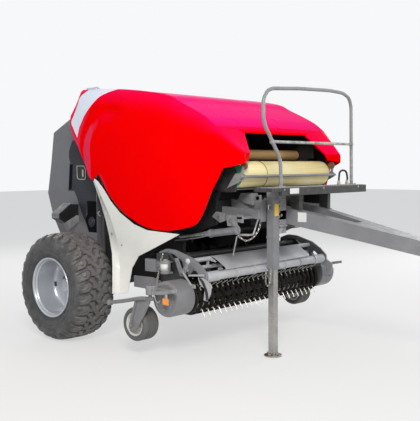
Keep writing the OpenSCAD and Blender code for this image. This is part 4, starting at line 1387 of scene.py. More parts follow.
    def small_parts(self, side: Side) -> None:
        """Builds covers, the lift link, the accumulator and the chain beside one end of the pickup."""
        tag = side.tag
        cover = Shape(side)
        cover.prism([(716, 534), (716, 636), (960, 642), (1096, 612), (1096, 552), (960, 530)], 900.5, 912)
        cover.bolts([(745, 912, 610), (745, 912, 560), (940, 912, 615), (940, 912, 558)], 6, 4)
        cover.piece(f"pickup_cover_{tag}", Palette.FRAME, self.body, bevel=4, steps=3)
        box = Shape(side)
        box.block((882, 1018), (884, 926), (695, 804))
        box.prism([(1010, 730), (1010, 790), (1128, 850), (1150, 800)], 896, 908)
        box.bolts([(x, 926, z) for x in (902, 998) for z in (712, 788)], 6, 5)
        box.piece(f"pickup_side_box_{tag}", Palette.FRAME, self.body, bevel=5, steps=3)
        can = Shape(side)
        x, y = self.can
        can.turned([(0, 700), (40, 700), (44, 704), (44, 806), (40, 812), (22, 815), (18, 826), (0, 826)],
                   (x, y, 0), Axis.UP)
        can.piece(f"accumulator_{tag}", Palette.PALE, self.body, bevel=1, crease=25)
        label = Shape(side)
        arc = [math.radians(a) for a in range(20, 131, 10)]
        label.sheet([[(x + 45 * math.cos(a), y + 45 * math.sin(a), z) for a in arc] for z in (728, 788)])
        label.piece(f"accumulator_label_{tag}", Palette.LABEL_WHITE, self.body, thickness=0.8)
        carrier = Shape(side)
        carrier.block((1150, 1226), (918, 966), (700, 716))
        carrier.block((1150, 1226), (918, 966), (796, 804))
        carrier.prism([(1258, 834), (1296, 842), (1346, 742), (1398, 806), (1424, 792), (1374, 688),
                       (1322, 690)], 922, 934)
        carrier.rod(1345, 716, 14, 918, 944, soft=3)
        carrier.piece(f"pickup_brackets_{tag}", Palette.FRAME, self.body, bevel=2)
        link = Shape(side)
        upper, lower = (1366, 732), (1482, 614)
        link.pipe([(upper[0], 946, upper[1]), (lower[0], 950, lower[1])], 10, 14)
        link.rod(*upper, 16, 934, 960, soft=3)
        link.rod(*lower, 16, 934, 962, soft=3)
        link.prism([(1380, 600), (1380, 640), (1495, 632), (1500, 600)], 922, 938)
        link.piece(f"pickup_lift_link_{tag}", Palette.PALE, self.body, bevel=1.5)
        chain = Shape(side)
        hang = through([(1120, 930, 862), (1098, 940, 790), (1120, 985, 712), (1210, 1090, 640),
                        (1292, 1150, 604)], 10)
        chain.chain(hang, 24, 3.4)
        chain.piece(f"pickup_chain_{tag}", Palette.STEEL, self.body)


@dataclass
class TineReel:
    """Reel of spring tines, seen through the gaps between the bands."""

    bars: int = 4
    tines: int = 24
    bar_r: float = 115.0
    tip_r: float = 199.0
    wire: float = 4.4

    def tine(self, shape: Shape, turn: float, y: float) -> None:
        """Adds one coiled spring tine on the bar at an angle."""
        cosine, sine = math.cos(turn), math.sin(turn)

        def put(out: float, side: float, across: float) -> Point:
            """Place from a distance along the finger, across it and along the bar."""
            return (REEL_X + cosine * out - sine * side, y + across, REEL_Z + sine * out + cosine * side)

        coil = [put(self.bar_r + 14 * math.sin(a), 14 * math.cos(a), -11 + k * 0.5)
                for k, a in enumerate(math.tau * n / 8 for n in range(22))]
        finger = [put(self.bar_r + 18, 14, 0.5), put(150, 9, 0.8), put(178, 3, 0.8), put(self.tip_r, -5, 0.8)]
        shape.pipe(coil + finger, self.wire, 6)

    def build(self) -> None:
        """Builds the shaft, the bars with their tines and the end discs."""
        half = PICKUP_HALF
        pitch = 2 * BAND_SPAN / self.tines
        reel, frame_parts = Shape(), Shape()
        for b in range(self.bars):
            turn = -math.radians(45 + 360 * b / self.bars)
            for i in range(self.tines):
                self.tine(reel, turn, pitch * (i + 0.5) - BAND_SPAN)
            x, z = REEL_X + self.bar_r * math.cos(turn), REEL_Z + self.bar_r * math.sin(turn)
            frame_parts.rod(x, z, 11, -half + 10, half - 10, 20)
        reel.piece("spring_tines", Palette.TINE, "tine_reel", crease=60)
        frame_parts.rod(REEL_X, REEL_Z, 30, -half - 18, half + 18, soft=2)
        for s in (1, -1):
            frame_parts.turned([(0, s * (half - 16)), (126, s * (half - 16)), (130, s * (half - 13)),
                                (130, s * (half - 8)), (124, s * (half - 6)), (0, s * (half - 6))],
                               (REEL_X, 0, REEL_Z), sides=64)
        # The shaft, bars and discs are steel; their black is painted shade inside the pickup.
        frame_parts.piece("reel_frame", Palette.BLACK, "tine_reel", ("tine_reel",), slot="steel")


@dataclass
class WindGuard:
    """Crop guard over the reel: cranked arms, tubes and a folded sheet, with its press roller.

    Attributes:
        body: Body of the frame that it rides on.
        arm: Outline of an arm.
        fold: Section of the folded sheet.
        tubes: X, Z and radius of each tube.
    """

    body: str = "wind_guard"
    arm: Sequence[Flat] = ((1020, 800), (1020, 870), (1120, 905), (1230, 900), (1420, 848), (1520, 790),
                           (1590, 730), (1590, 655), (1525, 655), (1500, 715), (1440, 765), (1400, 705),
                           (1330, 705), (1310, 810), (1200, 865), (1110, 862), (1075, 800))
    fold: Sequence[Flat] = ((1386, 826), (1400, 836), (1440, 822), (1500, 790),
                            (1548, 764), (1570, 738), (1562, 730))
    tubes: Sequence[Point] = ((1380, 815, 20), (1360, 742, 18))

    def build(self) -> None:
        """Builds the arms, tubes, sheet and roller, and each end's plates and lines."""
        arms = Shape()
        for s in (1, -1):
            arms.prism(rounded(self.arm, 18, 3, closed=True), s * 870, s * 890)
            for x, z in ((1130, 884), (1240, 876), (1470, 800), (1560, 700)):
                arms.rod(x, z, 9, s * 866, s * 897, 6)
        arms.piece("guard_arms", Palette.FRAME, self.body, ("wind_guard",), bevel=2.5)
        tubes = Shape()
        for x, z, radius in self.tubes:
            tubes.rod(x, z, radius, -884, 884)
        for y in (-640, -215, 215, 640):
            tubes.prism([(1352, 738), (1372, 826), (1392, 832), (1384, 736)], y - 5, y + 5)
            tubes.prism([(1380, 806), (1390, 838), (1470, 800), (1468, 788)], y - 5, y + 5)
        tubes.piece("guard_tubes", Palette.GUARD, self.body, bevel=1.5)
        caps = Shape()
        for s in (1, -1):
            for x, z, radius in self.tubes:
                caps.turned([(0, s * 902), (radius - 1, s * 902), (radius + 4, s * 898),
                             (radius + 4, s * 890), (0, s * 890)], (x, 0, z))
        caps.piece("guard_tube_caps", Palette.LABEL_WHITE, self.body, crease=40)
        sheet = Shape()
        lines = []
        for k in range(41):
            y = -620 + 31 * k
            ripple = 2.2 * math.cos(math.tau * k / 8)
            lines.append([(x, y, z + (ripple if 0 < i < len(self.fold) - 1 else 0))
                          for i, (x, z) in enumerate(self.fold)])
        sheet.sheet(lines)
        sheet.piece("guard_sheet", Palette.GUARD, self.body, thickness=4, bevel=1.2, crease=22)
        for side in Side:
            tag = side.tag
            plates = Shape(side)
            plates.prism([(1500, 684), (1560, 692), (1654, 642), (1642, 562), (1602, 500), (1562, 506),
                          (1576, 600), (1522, 632)], 893, 899)
            plates.prism([(1395, 690), (1395, 706), (1570, 722), (1570, 706)], 893, 905)
            plates.bolts([(1545, 899, 668), (1600, 899, 620)], 7, 6)
            plates.piece(f"guard_end_plates_{tag}", Palette.GUARD, self.body, bevel=1.5)
            hose = Shape(side)
            for shift in (0, 16):
                hose.pipe(through([(1520 + shift, 904, 684), (1552 + shift, 904, 656),
                                   (1588 + shift, 904, 590), (1600 + shift, 904, 530),
                                   (1596 + shift, 904, 512)], 6), 5, 8)
            hose.piece(f"guard_lines_{tag}", Palette.HOSE, self.body)
        roller = Shape()
        roller.turned([(0, -864), (34, -864), (38, -860), (38, 860), (34, 864), (0, 864)],
                      (ROLLER_X, 0, ROLLER_Z), sides=40)
        roller.rod(ROLLER_X, ROLLER_Z, 15, -888, 888)
        roller.piece("press_roller_tube", Palette.GUARD, "press_roller", ("press_roller",))
        sleeves = Shape()
        for s in (1, -1):
            for low, high in ((700, 858), (455, 470), (215, 230)):
                sleeves.turned([(38.2, s * low), (43, s * low), (45, s * (low + 2)), (45, s * (high - 2)),
                                (43, s * high), (38.2, s * high)], (ROLLER_X, 0, ROLLER_Z), sides=40)
        sleeves.piece("press_roller_sleeves", Palette.GUARD, "press_roller")


@dataclass
class GaugeWheel:
    """Small wheel on its castor beside the pickup."""

    side: Side
    wheel: Point = (1040.0, 1125.0, 280.0)
    radius: float = 145.0
    half: float = 85.0

    def build(self) -> None:
        """Builds the castor with its lever, and the wheel."""
        tag = self.side.tag
        x, y, z = self.wheel
        castor = Shape(self.side)
        castor.turned([(0, 505), (15, 505), (15, 638), (11, 642), (0, 642)], CASTOR_AXIS, Axis.UP, 24)
        castor.block((1205, 1265), (1172, 1236), (506, 535.5))
        castor.prism(rounded([(1000, 262), (1092, 520), (1150, 536), (1262, 536), (1266, 500), (1190, 380),
                              (1120, 270), (1088, 243), (1028, 238)], 22, 4, closed=True), 1218, 1233)
        castor.pipe([(1120, 1238, 524), (1060, 1238, 360), (1034, 1238, 262)], 6, 10)
        castor.rod(x, z, 15, y - 75, 1238, soft=3)
        castor.bolts([(x, 1238, z)], 15, 12)
        castor.piece(f"castor_arm_{tag}", Palette.FRAME, f"castor_{tag}", (f"castor_{tag}",), bevel=2.5)
        lever = Shape(self.side)
        lever.pipe(through([(1238, 1242, 530), (1150, 1244, 520),
                            (950, 1244, 476), (772, 1244, 442)], 6), 17, 16)
        lever.rod(766, 441, 22, 1226, 1262, soft=4)
        lever.piece(f"castor_lever_{tag}", Palette.FRAME, f"castor_{tag}", crease=50)
        rim = Shape(self.side)
        profile = [(15.4, -78), (30, -78), (32, -30), (76, -22), (82, -40), (86, -66), (98, -78), (103, -76),
                   (96, -66), (96, 66), (103, 76), (98, 80), (88, 72), (82, 50), (78, 30), (68, 22),
                   (40, 18), (36, 40), (32, 78), (15.4, 80)]
        rim.turned(profile, self.wheel, sides=64)
        rim.bolt_circle((x, y + 20, z), 56, 5, 6, 8)
        rim.piece(f"gauge_wheel_rim_{tag}", Palette.RING_WHITE, f"gauge_wheel_{tag}", (f"gauge_rim_{tag}",),
                  crease=30)
        tyre = Shape(self.side)
        w, r = self.half, self.radius
        edge = through([(98, w - 12), (104, w - 5), (113, w - 1), (125, w), (136, w - 6), (142, w - 15),
                        (r, w - 26)], 3)
        crown = []
        for groove in (38, 13, -13, -38):
            crown += [(r, groove + 5), (r - 6, groove + 2.5), (r - 6, groove - 2.5), (r, groove - 5)]
        tyre.turned(edge + crown + [(a, -b) for a, b in reversed(edge)] + [(97.5, -w + 16), (97.5, w - 16)],
                    self.wheel, sides=72)
        tyre.piece(f"gauge_tyre_skin_{tag}", Palette.SMALL_TYRE, f"gauge_wheel_{tag}",
                   (f"gauge_tyre_{tag}",), crease=36)


# Net box, drawbar, jack, platform and rail


@dataclass
class NetBox:
    """Net roll and rollers above the drawbar, with their end plates.

    Attributes:
        roll: X and Z of the net roll's axis.
        upper: X and Z of the upper roll's axis.
        radius: Radius of the net roll.
        half: Half length of the net roll.
    """

    roll: Flat = (1667.0, 1545.0)
    upper: Flat = (1400.0, 1718.0)
    radius: float = 115.0
    half: float = 643.0

    def wound(self) -> Shape:
        """Roll of net with soft waves along its length and a spiral on its ends."""
        shape = Shape()
        rows = []
        sides = 72
        for k in range(61):
            y = self.half * (k / 30 - 1)
            line = []
            for j in range(sides):
                a = math.tau * j / sides
                soft = noise.noise(Vector((y / 90, math.cos(a) * 1.4, math.sin(a) * 1.4)))
                r = self.radius - 1.5 + 1.5 * soft - (3 if k in (0, 60) else 0)
                line.append((self.roll[0] + r * math.cos(a), y, self.roll[1] + r * math.sin(a)))
            rows.append(line)
        shape.sheet(rows, around=True)
        return shape

    def build(self) -> None:
        """Builds the rolls, the end plates, the bar and the small guides."""
        x, z = self.roll
        self.wound().piece("net_roll_wrap", Palette.NET, "net_roll", ("net_roll",), crease=40)
        core = Shape()
        core.rod(x, z, 19.5, -656, 656, soft=2)
        core.piece("net_roll_core", Palette.BROWN, "net_roll")
        ends = Shape()
        for s in (1, -1):
            ends.turned([(22, s * 643.2), (112, s * 643.2), (113.5, s * 644), (112, s * 645), (22, s * 645)],
                        (x, 0, z))
        ends.piece("net_roll_end_caps", Palette.CAP_GREEN, "net_roll")
        upper = Shape()
        upper.rod(*self.upper, 48, -609, 609, sides=48, soft=4)
        upper.rod(*self.upper, 15, -640, 640)
        upper.piece("upper_net_roll", Palette.NET_TAN, "net_roller", ("net_roller",))
        plates = Shape()
        outline = [(1440, 1420), (1440, 1600), (1530, 1637), (1680, 1620), (1716, 1575), (1716, 1403),
                   (1620, 1395)]
        for s in (1, -1):
            plates.prism(rounded(outline, 14, 3, closed=True), s * 645.6, s * 659)
            plates.block((1445, 1470), (s * 659, s * 672), (1425, 1590))
            for bx, bz in ((1500, 1450), (1500, 1590), (1660, 1590), (1600, 1420)):
                plates.rod(bx, bz, 8, s * 655, s * 666, 6)
        for y in (-643, 643):
            plates.turned([(21, y), (34, y), (34, y + (14 if y > 0 else -14)),
                           (21, y + (14 if y > 0 else -14))], (x, 0, z))
        plates.piece("net_box_plates", Palette.DARK, "chassis", ("net_tray",), bevel=1.5)
        tray = Shape()
        arc = [math.radians(a) for a in range(200, 293, 6)]
        tray.sheet([[(x + 131 * math.cos(a), y, z + 131 * math.sin(a)) for a in arc]
                    for y in range(-645, 646, 43)])
        tray.piece("net_tray_pan", Palette.FRAME, "chassis", thickness=-4, bevel=1)
        bar = Shape()
        bar.rod(1806, 1531, 12, -700, 700, soft=2)
        for s in (1, -1):
            bar.prism([(1620, 1430), (1715, 1555), (1796, 1560), (1824, 1545), (1824, 1515), (1740, 1475)],
                      s * 660, s * 667)
            bar.prism([(1775, 1552), (1788, 1618), (1812, 1618), (1806, 1552)], s * 660, s * 665)
        bar.piece("net_bar", Palette.PALE, "chassis", bevel=1.5)
        guide = Shape()
        for s in (1, -1):
            guide.turned([(0, s * 636), (30, s * 636), (32, s * 640), (32, s * 656), (30, s * 659),
                          (0, s * 659)], (1799, 0, 1618), sides=32)
        guide.piece("net_guide_discs", Palette.BROWN, "chassis")
        twine = Shape()
        reach = self.radius + 1.5
        turns = [math.radians(96 - 6 * k) for k in range(28)]
        twine.pipe([(x + reach * math.cos(a), -330 + 9 * (1.7 - a), z + reach * math.sin(a))
                    for a in turns], 2.2, 6)
        twine.piece("net_twine", Palette.BROWN, "net_roll", slot="net")


@dataclass
class Handrail:
    """Bent rail round the platform, with its cross bar and feet."""

    x: float = 2000.0
    radius: float = 15.5
    path: Sequence[Flat] = ((-418, 1440.3), (-418, 1665), (-650, 1969), (-650, 2150), (-600, 2220),
                            (-535, 2246), (-146, 2272), (312, 2287), (527, 2279), (629, 2241), (665, 2170),
                            (678, 1440.3))
    cross: Sequence[Flat] = ((-532, 1814), (668, 1814))

    def build(self) -> None:
        """Builds the rail."""
        rail = Shape()
        bent = rounded(self.path, 70, 8)
        rail.pipe([(self.x, y, z) for y, z in bent], self.radius, 20)
        rail.pipe([(self.x, y, z) for y, z in self.cross], 12, 16)
        for y, z in (self.path[0], self.path[-1]):
            rail.block((self.x - 32, self.x + 32), (y - 32, y + 32), (z, 1448))
            rail.bolts([(self.x + a, y + b, 1448) for a in (-22, 22) for b in (-22, 22)], 5, 5, Axis.UP)
        for y, z in self.cross:
            rail.turned([(0, self.x - 17), (15, self.x - 17), (18, self.x - 12), (18, self.x + 12),
                         (15, self.x + 17), (0, self.x + 17)], (0, y, z), Axis.FORWARD, 20)
        rail.piece("handrail_tubes", Palette.PALE, "chassis", ("handrail",), crease=45)


@dataclass
class Platform:
    """Step over the drawbar with a raised tread, a turned-down front and two struts."""

    x: Flat = (1960.0, 2145.0)
    y: Flat = (-725.0, 700.0)
    top: float = 1440.0
    stud_gap: float = 35.0

    def build(self) -> None:
        """Builds the deck, its tread, the front label and the bent bar with its sockets."""
        deck = Shape()
        deck.block(self.x, self.y, (1408, self.top))
        deck.block((2106, 2145), (-590, 700), (1374, 1409))
        for s in (1, -1):
            deck.prism([(1970, 1409), (2060, 1409), (2060, 1236), (1970, 1254)], s * 190, s * 235)
            deck.prism([(1952, 1405), (2070, 1405), (2040, 1330), (1985, 1330)], s * 236, s * 242)
        deck.piece("platform_deck", Palette.DARK, "chassis", ("platform",), bevel=4, steps=3)
        studs = Shape()
        for i in range(5):
            for j in range(40):
                x = self.x[0] + 22 + self.stud_gap * i
                y = self.y[0] + 24 + self.stud_gap * j + (17 if i % 2 else 0)
                if y < self.y[1] - 16:
                    studs.turned([(0, 0), (10, 0), (8, 3), (5, 4), (0, 4)],
                                 (x, y, self.top - 0.4), Axis.UP, 10)
        studs.bolts([(2145, y, 1424) for y in (-560, 0, 560)], 7, 6, Axis.FORWARD)
        studs.piece("platform_tread", Palette.FRAME, "chassis", slot="frame_dark")
        label = Shape()
        label.block((2145, 2146), (-486, -361), (1389, 1433))
        label.piece("platform_label", Palette.LABEL_WHITE, "chassis", bevel=0.3, slot="frame_dark")
        rest = Shape()
        loop = through([(2010, 585, 1440), (2012, 588, 1500), (2010, 570, 1556), (2004, 525, 1572),
                        (2000, 480, 1556), (1998, 468, 1500), (1996, 470, 1440)], 8)
        rest.pipe(loop, 9, 12)
        rest.piece("hose_rest_bar", Palette.BLACK, "chassis")
        ends = Shape()
        for x, y in ((2010, 585), (1996, 470)):
            ends.turned([(0, 0), (16, 0), (16, 22), (12, 26), (12, 42), (0, 42)],
                        (x, y, self.top), Axis.UP, 12)
        ends.piece("hose_rest_sockets", Palette.ZINC, "chassis", bevel=0.6)


@dataclass
class Jack:
    """Parking jack: square tube, sliding leg, holed plate and chain."""

    x: float = 1905.0
    y: float = 400.0
    half: float = 38.0
    top: float = 1425.0
    leg_half: float = 29.6
    pin_z: float = 1290.0

    def build(self) -> None:
        """Builds the tube and what it carries, on the right side, and the leg."""
        side = Side.RIGHT
        x, y, h = self.x, self.y, self.half
        tube = Shape(side)
        for half, low, high in ((h, 742, self.top), (h + 4, 742, 768), (h + 4, 1010, 1024),
                                (h + 4, 1330, 1344)):
            walls = [(half, low), (half, high), (h - 5, high), (h - 5, low)]
            tube.sheet([[(*p, z) for p in rect((x - a, x + a), (y - a, y + a))] for a, z in walls],
                       around=True, along=True)
        tube.block((x - 36, x + 36), (258.5, y - 36), (1160, 1240))
        tube.piece("jack_tube", Palette.FRAME, "chassis", ("jack_outer",), bevel=4, steps=3)
        cap = Shape(side)
        cap.block((x - 30, x + 30), (y - 30, y + 30), (self.top, self.top + 8))
        cap.turned([(0, self.top + 6), (24, self.top + 6), (26, self.top + 12), (20, self.top + 22),
                    (0, self.top + 26)], (x - 40, y - 10, 0), Axis.UP, 24)
        cap.piece("jack_cap", Palette.BLACK, "chassis", bevel=2)
        plate = Shape(side)
        outline = [(262.8, 1045), (262.8, 1360), (363, 1360)]
        for k in range(6):
            z = 1330 - 44 * k
            outline += [(363, z), (349, z - 6), (349, z - 18), (363, z - 24)]
        outline.append((363, 1045))
        plate.prism(outline, 1931, 1941, Axis.FORWARD)
        plate.bolts([(1941, 300, 1340), (1941, 300, 1070), (1941, 330, 1200)], 8, 7, Axis.FORWARD)
        plate.rod(1950, 1110, 9, 268, 372)
        plate.piece("jack_hole_plate", Palette.PALE, "chassis", bevel=1.5)
        label = Shape(side)
        label.block((x + h, x + h + 0.8), (372, 428), (1196, 1298))
        label.piece("jack_label", Palette.LABEL_YELLOW, "chassis", bevel=0.2)
        leg = Shape(side)
        leg.block((x - self.leg_half, x + self.leg_half), (y - self.leg_half, y + self.leg_half), (12, 840))
        leg.piece("jack_leg_tube", Palette.STEEL, "jack_leg", ("jack_leg",), bevel=3)
        foot = Shape(side)
        foot.turned([(0, 0.5), (70, 0), (78, 3), (78, 11), (74, 14), (30, 16), (0, 16)],
                    (x, y, 0), Axis.UP, 48)
        for s in (1, -1):
            foot.block((x + s * 28, x + s * 66), (y - 3, y + 3), (14, 26))
            foot.block((x - 3, x + 3), (y + s * 28, y + s * 66), (14, 26))
        foot.piece("jack_foot", Palette.STEEL, "jack_leg", bevel=1)
        pin = Shape(side)
        z = self.pin_z
        pin.rod(x, z, 11, y - 52, y - h - 0.2, soft=2)
        pin.rod(x, z, 11, y + h + 0.2, y + 54, soft=2)
        pin.pipe(rounded([(x, y + 52, z), (x, y + 66, z), (x + 8, y + 70, z - 40),
                          (x + 4, y + 44, z - 44)], 10), 3.5, 8)
        pin.piece("jack_pin", Palette.ZINC, "chassis")
        chain = Shape(side)
        chain.chain(through([(x - 34, y + 44, 752), (x - 36, y + 54, 690), (x - 30, y + 60, 632),
                             (x - 10, y + 62, 608), (x + 10, y + 58, 632), (x + 14, y + 52, 690),
                             (x + 16, y + 44, 750)], 8), 18, 2.6)
        chain.piece("jack_chain", Palette.STEEL, "chassis")


@dataclass
class Drawbar:
    """Drawbar trim: side beam, lugs, housings, lift cylinder, chain and labels, and the towing eye."""

    eye: Flat = (3285.0, 0.0)

    def build(self) -> None:
        """Builds both beams, the right side's fittings, the towing eye and the gearbox fittings."""
        for side in Side:
            self.beam(side)
        right = Side.RIGHT
        label = Shape(right)
        label.prism([(2044, 236.3), (2123, 223.8), (2123, 224.6), (2044, 237.1)], 1142, 1222, Axis.UP)
        label.piece("drawbar_label", Palette.LABEL_WHITE, "chassis")
        housing = Shape(right)
        housing.prism([(1545, 1381), (1507, 1314), (1560, 1302), (1676, 1278), (1659, 1383)], 300, 396)
        housing.bolts([(1540, 396, 1335), (1640, 396, 1300), (1640, 396, 1362)], 7, 6)
        housing.piece("drive_cover", Palette.PALE, "chassis", bevel=7, steps=3)
        bracket = Shape(right)
        bracket.prism([(1690, 1367), (1758, 1367), (1762, 1240), (1700, 1240)], 366, 386)
        bracket.block((1690, 1860), (330, 385), (1252, 1272))
        bracket.piece("hose_bracket", Palette.FRAME, "chassis", bevel=2.5)
        # The bore is a black disc: painted shade of the hole, which is not cut.
        bore = Shape(right)
        bore.turned([(0, 386), (15, 386), (17, 388), (17, 391), (0, 391)], (1730, 0, 1340), sides=24)
        bore.piece("hose_bracket_bore_shade", Palette.SEAL_AND_HOLE_SHADE, "chassis")
        chain = Shape(right)
        chain.chain(through([(1840, 486, 1166), (1830, 490, 1097), (1810, 539, 1024), (1788, 618, 996),
                             (1762, 690, 1040)], 8), 18, 2.8)
        chain.pipe([(1760, 700, 1036), (1722, 704, 880)], 6, 10)
        chain.piece("drawbar_chain", Palette.STEEL, "chassis")
        eye = Shape()
        eye.turned([(25.2, 936), (29, 930.5), (58, 930.5), (65, 937), (65, 983), (58, 989.5), (29, 989.5),
                    (25.2, 984)], (*self.eye, 0), Axis.UP, 64)
        eye.prism([(3151, -44), (3151, 44), (3180, 45), (3236, 40), (3236, -40), (3180, -45)],
                  931, 989, Axis.UP)
        eye.piece("towing_eye", Palette.STEEL, "chassis", ("tow_eye",), bevel=3)
        flange = Shape()
        flange.block((3140, 3151), (-56, 56), (906, 1014))
        flange.bolts([(3151, a, b) for a in (-40, 40) for b in (918, 1002)], 8, 8, Axis.FORWARD)
        flange.piece("towing_eye_flange", Palette.FRAME, "chassis", bevel=2)
        guard = Shape()
        guard.turned([(62, 1792), (66, 1792), (78, 1846), (82, 1850), (76, 1850), (60, 1798)], (0, 0, 1290),
                     Axis.FORWARD)
        guard.piece("input_guard", Palette.HOSE, "chassis", crease=30)
        box = Shape()
        box.bolts([(1790, a, b) for a in (-115, 115) for b in (1095, 1335)], 9, 8, Axis.FORWARD)
        box.bolts([(x, y, 1360) for x in (1500, 1740) for y in (-100, 100)], 9, 8, Axis.UP)
        for y in (-120, -60, 0, 60, 120):
            box.prism([(1480, 1360), (1500, 1372), (1740, 1372), (1760, 1360)], y - 4, y + 4)
        box.piece("gearbox_fittings", Palette.DARK, "chassis", bevel=1)

    def beam(self, side: Side) -> None:
        """Builds one side beam with its lugs and the lift cylinder that hangs from it."""
        tag = side.tag
        beam = Shape(side)
        beam.prism([(1450, 1205), (1450, 1268), (1860, 1252), (1860, 1170)], 488, 536)
        beam.prism([(512, 1149), (512, 1316), (442, 1352), (442, 1149)], 1856, 1866, Axis.FORWARD)
        beam.piece(f"side_beam_{tag}", Palette.FRAME, "chassis", bevel=4, steps=3)
        lugs = Shape(side)
        lugs.prism([(1465, 1188), (1511, 1232), (1606, 1222), (1613, 1160), (1556, 1138)], 664, 682)
        lugs.prism([(1620, 1212), (1734, 1206), (1738, 1112), (1640, 1114)], 664, 682)
        lugs.prism([(1728, 1216), (1793, 1208), (1793, 1146), (1728, 1150)], 650, 668)
        lugs.block((1460, 1790), (530, 668), (1176, 1196))
        for x, z in ((1680, 1160), (1545, 1184)):
            lugs.turned([(13, 682), (24, 682), (24, 689), (13, 689)], (x, 0, z), sides=24)
        lugs.piece(f"cylinder_lugs_{tag}", Palette.FRAME, "chassis", bevel=2)
        tube = Shape(side)
        tube.pipe([(1470, 702, 1044), (1762, 702, 1086)], 31, 28)
        tube.pipe([(1462, 702, 1043), (1482, 702, 1046)], 36, 28)
        tube.pipe([(1752, 702, 1084.5), (1772, 702, 1087.5)], 36, 28)
        tube.prism([(1740, 1080), (1700, 1160), (1716, 1176), (1786, 1106), (1786, 1076)], 686, 700)
        tube.piece(f"lift_cylinder_{tag}", Palette.FRAME, "chassis", bevel=1.5)
        rods = Shape(side)
        rods.pipe([(1100, 704, 992), (1464, 702, 1043)], 12, 16)
        rods.pipe(through([(1060, 716, 990), (1200, 720, 1012), (1360, 724, 1040), (1480, 726, 1066)], 5),
                  5, 10)
        rods.pipe(through([(1060, 724, 962), (1200, 728, 978), (1360, 732, 1004), (1486, 730, 1034)], 5),
                  5, 10)
        rods.piece(f"lift_cylinder_rods_{tag}", Palette.PALE, "chassis")
        bar = Shape(side)
        bar.rod(1820, 1044, 8, 560, 640)
        bar.pipe([(1700, 600, 1037), (1820, 600, 1044)], 9, 12)
        bar.pipe([(1820, 560, 1044), (1840, 520, 1170)], 7, 12)
        bar.piece(f"drawbar_tie_{tag}", Palette.PALE, "chassis")


# Stage


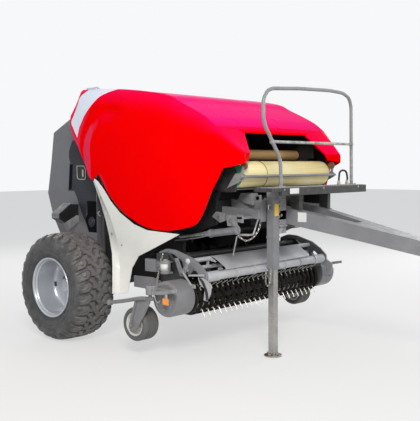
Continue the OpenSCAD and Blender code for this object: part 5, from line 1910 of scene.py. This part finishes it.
@dataclass
class Studio:
    """Camera, soft lamps, floor and background.

    Attributes:
        eye: Camera place in metres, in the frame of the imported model.
        heading: Turn of the view from straight back, in degrees.
        down: Downward tilt in degrees.
        roll: Roll in degrees.
        focal: Focal length in pixels of the picture.
        picture: Longer side of the picture in pixels.
    """

    eye: Point = (4.5305, -5.402, 1.615)
    heading: float = 47.55
    down: float = 3.37
    roll: float = -0.34
    focal: float = 748.1
    picture: float = 421.0

    def camera(self) -> None:
        """Places the camera as the photograph was taken."""
        data = bpy.data.cameras.new("camera")
        camera = bpy.context.scene.camera = linked("camera", data)
        turn, tilt, roll = (math.radians(v) for v in (self.heading, self.down, self.roll))
        way = Vector((-math.cos(turn) * math.cos(tilt), math.sin(turn) * math.cos(tilt), -math.sin(tilt)))
        right = Vector((math.sin(turn), math.cos(turn), 0.0))
        up = right.cross(way)
        right, up = (right * math.cos(roll) + up * math.sin(roll),
                     up * math.cos(roll) - right * math.sin(roll))
        axes = Matrix((right, up, -way)).transposed()
        camera.matrix_world = Matrix.Translation(self.eye) @ axes.to_4x4()
        data.sensor_width = 36.0
        data.sensor_fit = "AUTO"
        data.lens = self.focal * 36.0 / self.picture
        data.clip_end = 200.0

    def lamp(self, name: str, place: Point, target: Point, power: float, size: float,
             colour: Colour = (1.0, 1.0, 1.0)) -> None:
        """Adds one soft square lamp that looks at a target."""
        data = bpy.data.lights.new(name, "AREA")
        data.energy, data.size, data.color = power, size, colour
        obj = linked(name, data)
        obj.location = place
        obj.rotation_euler = (Vector(target) - Vector(place)).to_track_quat("-Z", "Y").to_euler()

    def floor(self) -> None:
        """Adds the plain pale floor."""
        mesh = bmesh.new()
        bmesh.ops.create_grid(mesh, x_segments=1, y_segments=1, size=40)
        data = bpy.data.meshes.new("floor")
        mesh.to_mesh(data)
        mesh.free()
        obj = linked("floor", data)
        obj.location.z = -0.001
        made = bpy.data.materials.new("pale_floor")
        nodes = Nodes(made)
        nodes.fill(nodes.shader, {"Base Color": (0.78, 0.77, 0.75), "Roughness": 0.9,
                                  "Specular IOR Level": 0.1})
        nodes.bump(nodes.noise(40.0, 4.0), 0.6)
        path = nodes.add("ShaderNodeLightPath").outputs
        seen = nodes.math("MAXIMUM", path["Is Camera Ray"], path["Is Glossy Ray"])
        nodes.blend(nodes.times(seen, 0.6), nodes.add("ShaderNodeEmission", {"Color": (0.91, 0.91, 0.91)}))
        data.materials.append(made)

    def sky(self) -> None:
        """Sets soft light all round and a pale background for the camera and for reflections."""
        world = bpy.data.worlds.new("studio")
        bpy.context.scene.world = world
        nodes = Nodes(world, "ShaderNodeBackground", "ShaderNodeOutputWorld")
        nodes.fill(nodes.shader, {0: (0.86, 0.92, 1.0), 1: 0.42})
        path = nodes.add("ShaderNodeLightPath").outputs
        seen = nodes.math("MAXIMUM", path["Is Camera Ray"], path["Is Transmission Ray"])
        seen = nodes.math("MAXIMUM", seen, path["Is Glossy Ray"])
        nodes.blend(seen, nodes.add("ShaderNodeBackground", {0: (0.93, 0.94, 0.95), 1: 1.0}))

    def build(self) -> None:
        """Builds the whole stage."""
        scene = bpy.context.scene
        scene.view_settings.view_transform = "Standard"
        self.camera()
        self.floor()
        self.sky()
        self.lamp("key_lamp", (5.6, -6.2, 5.8), (0.0, -0.4, 1.1), 640.0, 2.6, (1.0, 0.97, 0.92))
        self.lamp("fill_lamp", (8.0, 3.0, 4.0), (0.5, 0.0, 0.9), 120.0, 4.0, (0.95, 0.97, 1.0))
        self.lamp("rear_lamp", (-7.0, 2.0, 5.0), (-1.0, 0.0, 1.2), 170.0, 4.0)
        self.lamp("left_lamp", (0.5, 8.0, 3.2), (0.0, 0.5, 1.1), 230.0, 4.0)


def main() -> None:
    """Builds the machine and its stage."""
    logging.basicConfig(level=logging.INFO, format="%(message)s")
    Studio().build()
    for side in Side:
        SideHood(side).build()
        Shield(side).build()
        MainWheel(side).build()
        RearLamp(side).build()
        GaugeWheel(side).build()
    Roof().build()
    Tailgate().build()
    Pickup().build()
    TineReel().build()
    WindGuard().build()
    NetBox().build()
    Handrail().build()
    Platform().build()
    Jack().build()
    Drawbar().build()
    # Black on main_frame, chamber_wall and rotor is painted shade of the machine's shaded inside.
    plain = {"main_frame": Palette.BLACK, "axle": Palette.DARK, "chamber_wall": Palette.BLACK,
             "rotor": Palette.BLACK, "drawbar": Palette.FRAME, "gearbox": Palette.DARK,
             "tailgate_shell": Palette.GATE, "tailgate_cover_r": Palette.GATE,
             "tailgate_cover_l": Palette.GATE}
    for node, finish in plain.items():
        dress(node, finish)


if __name__ == "__main__":
    main()
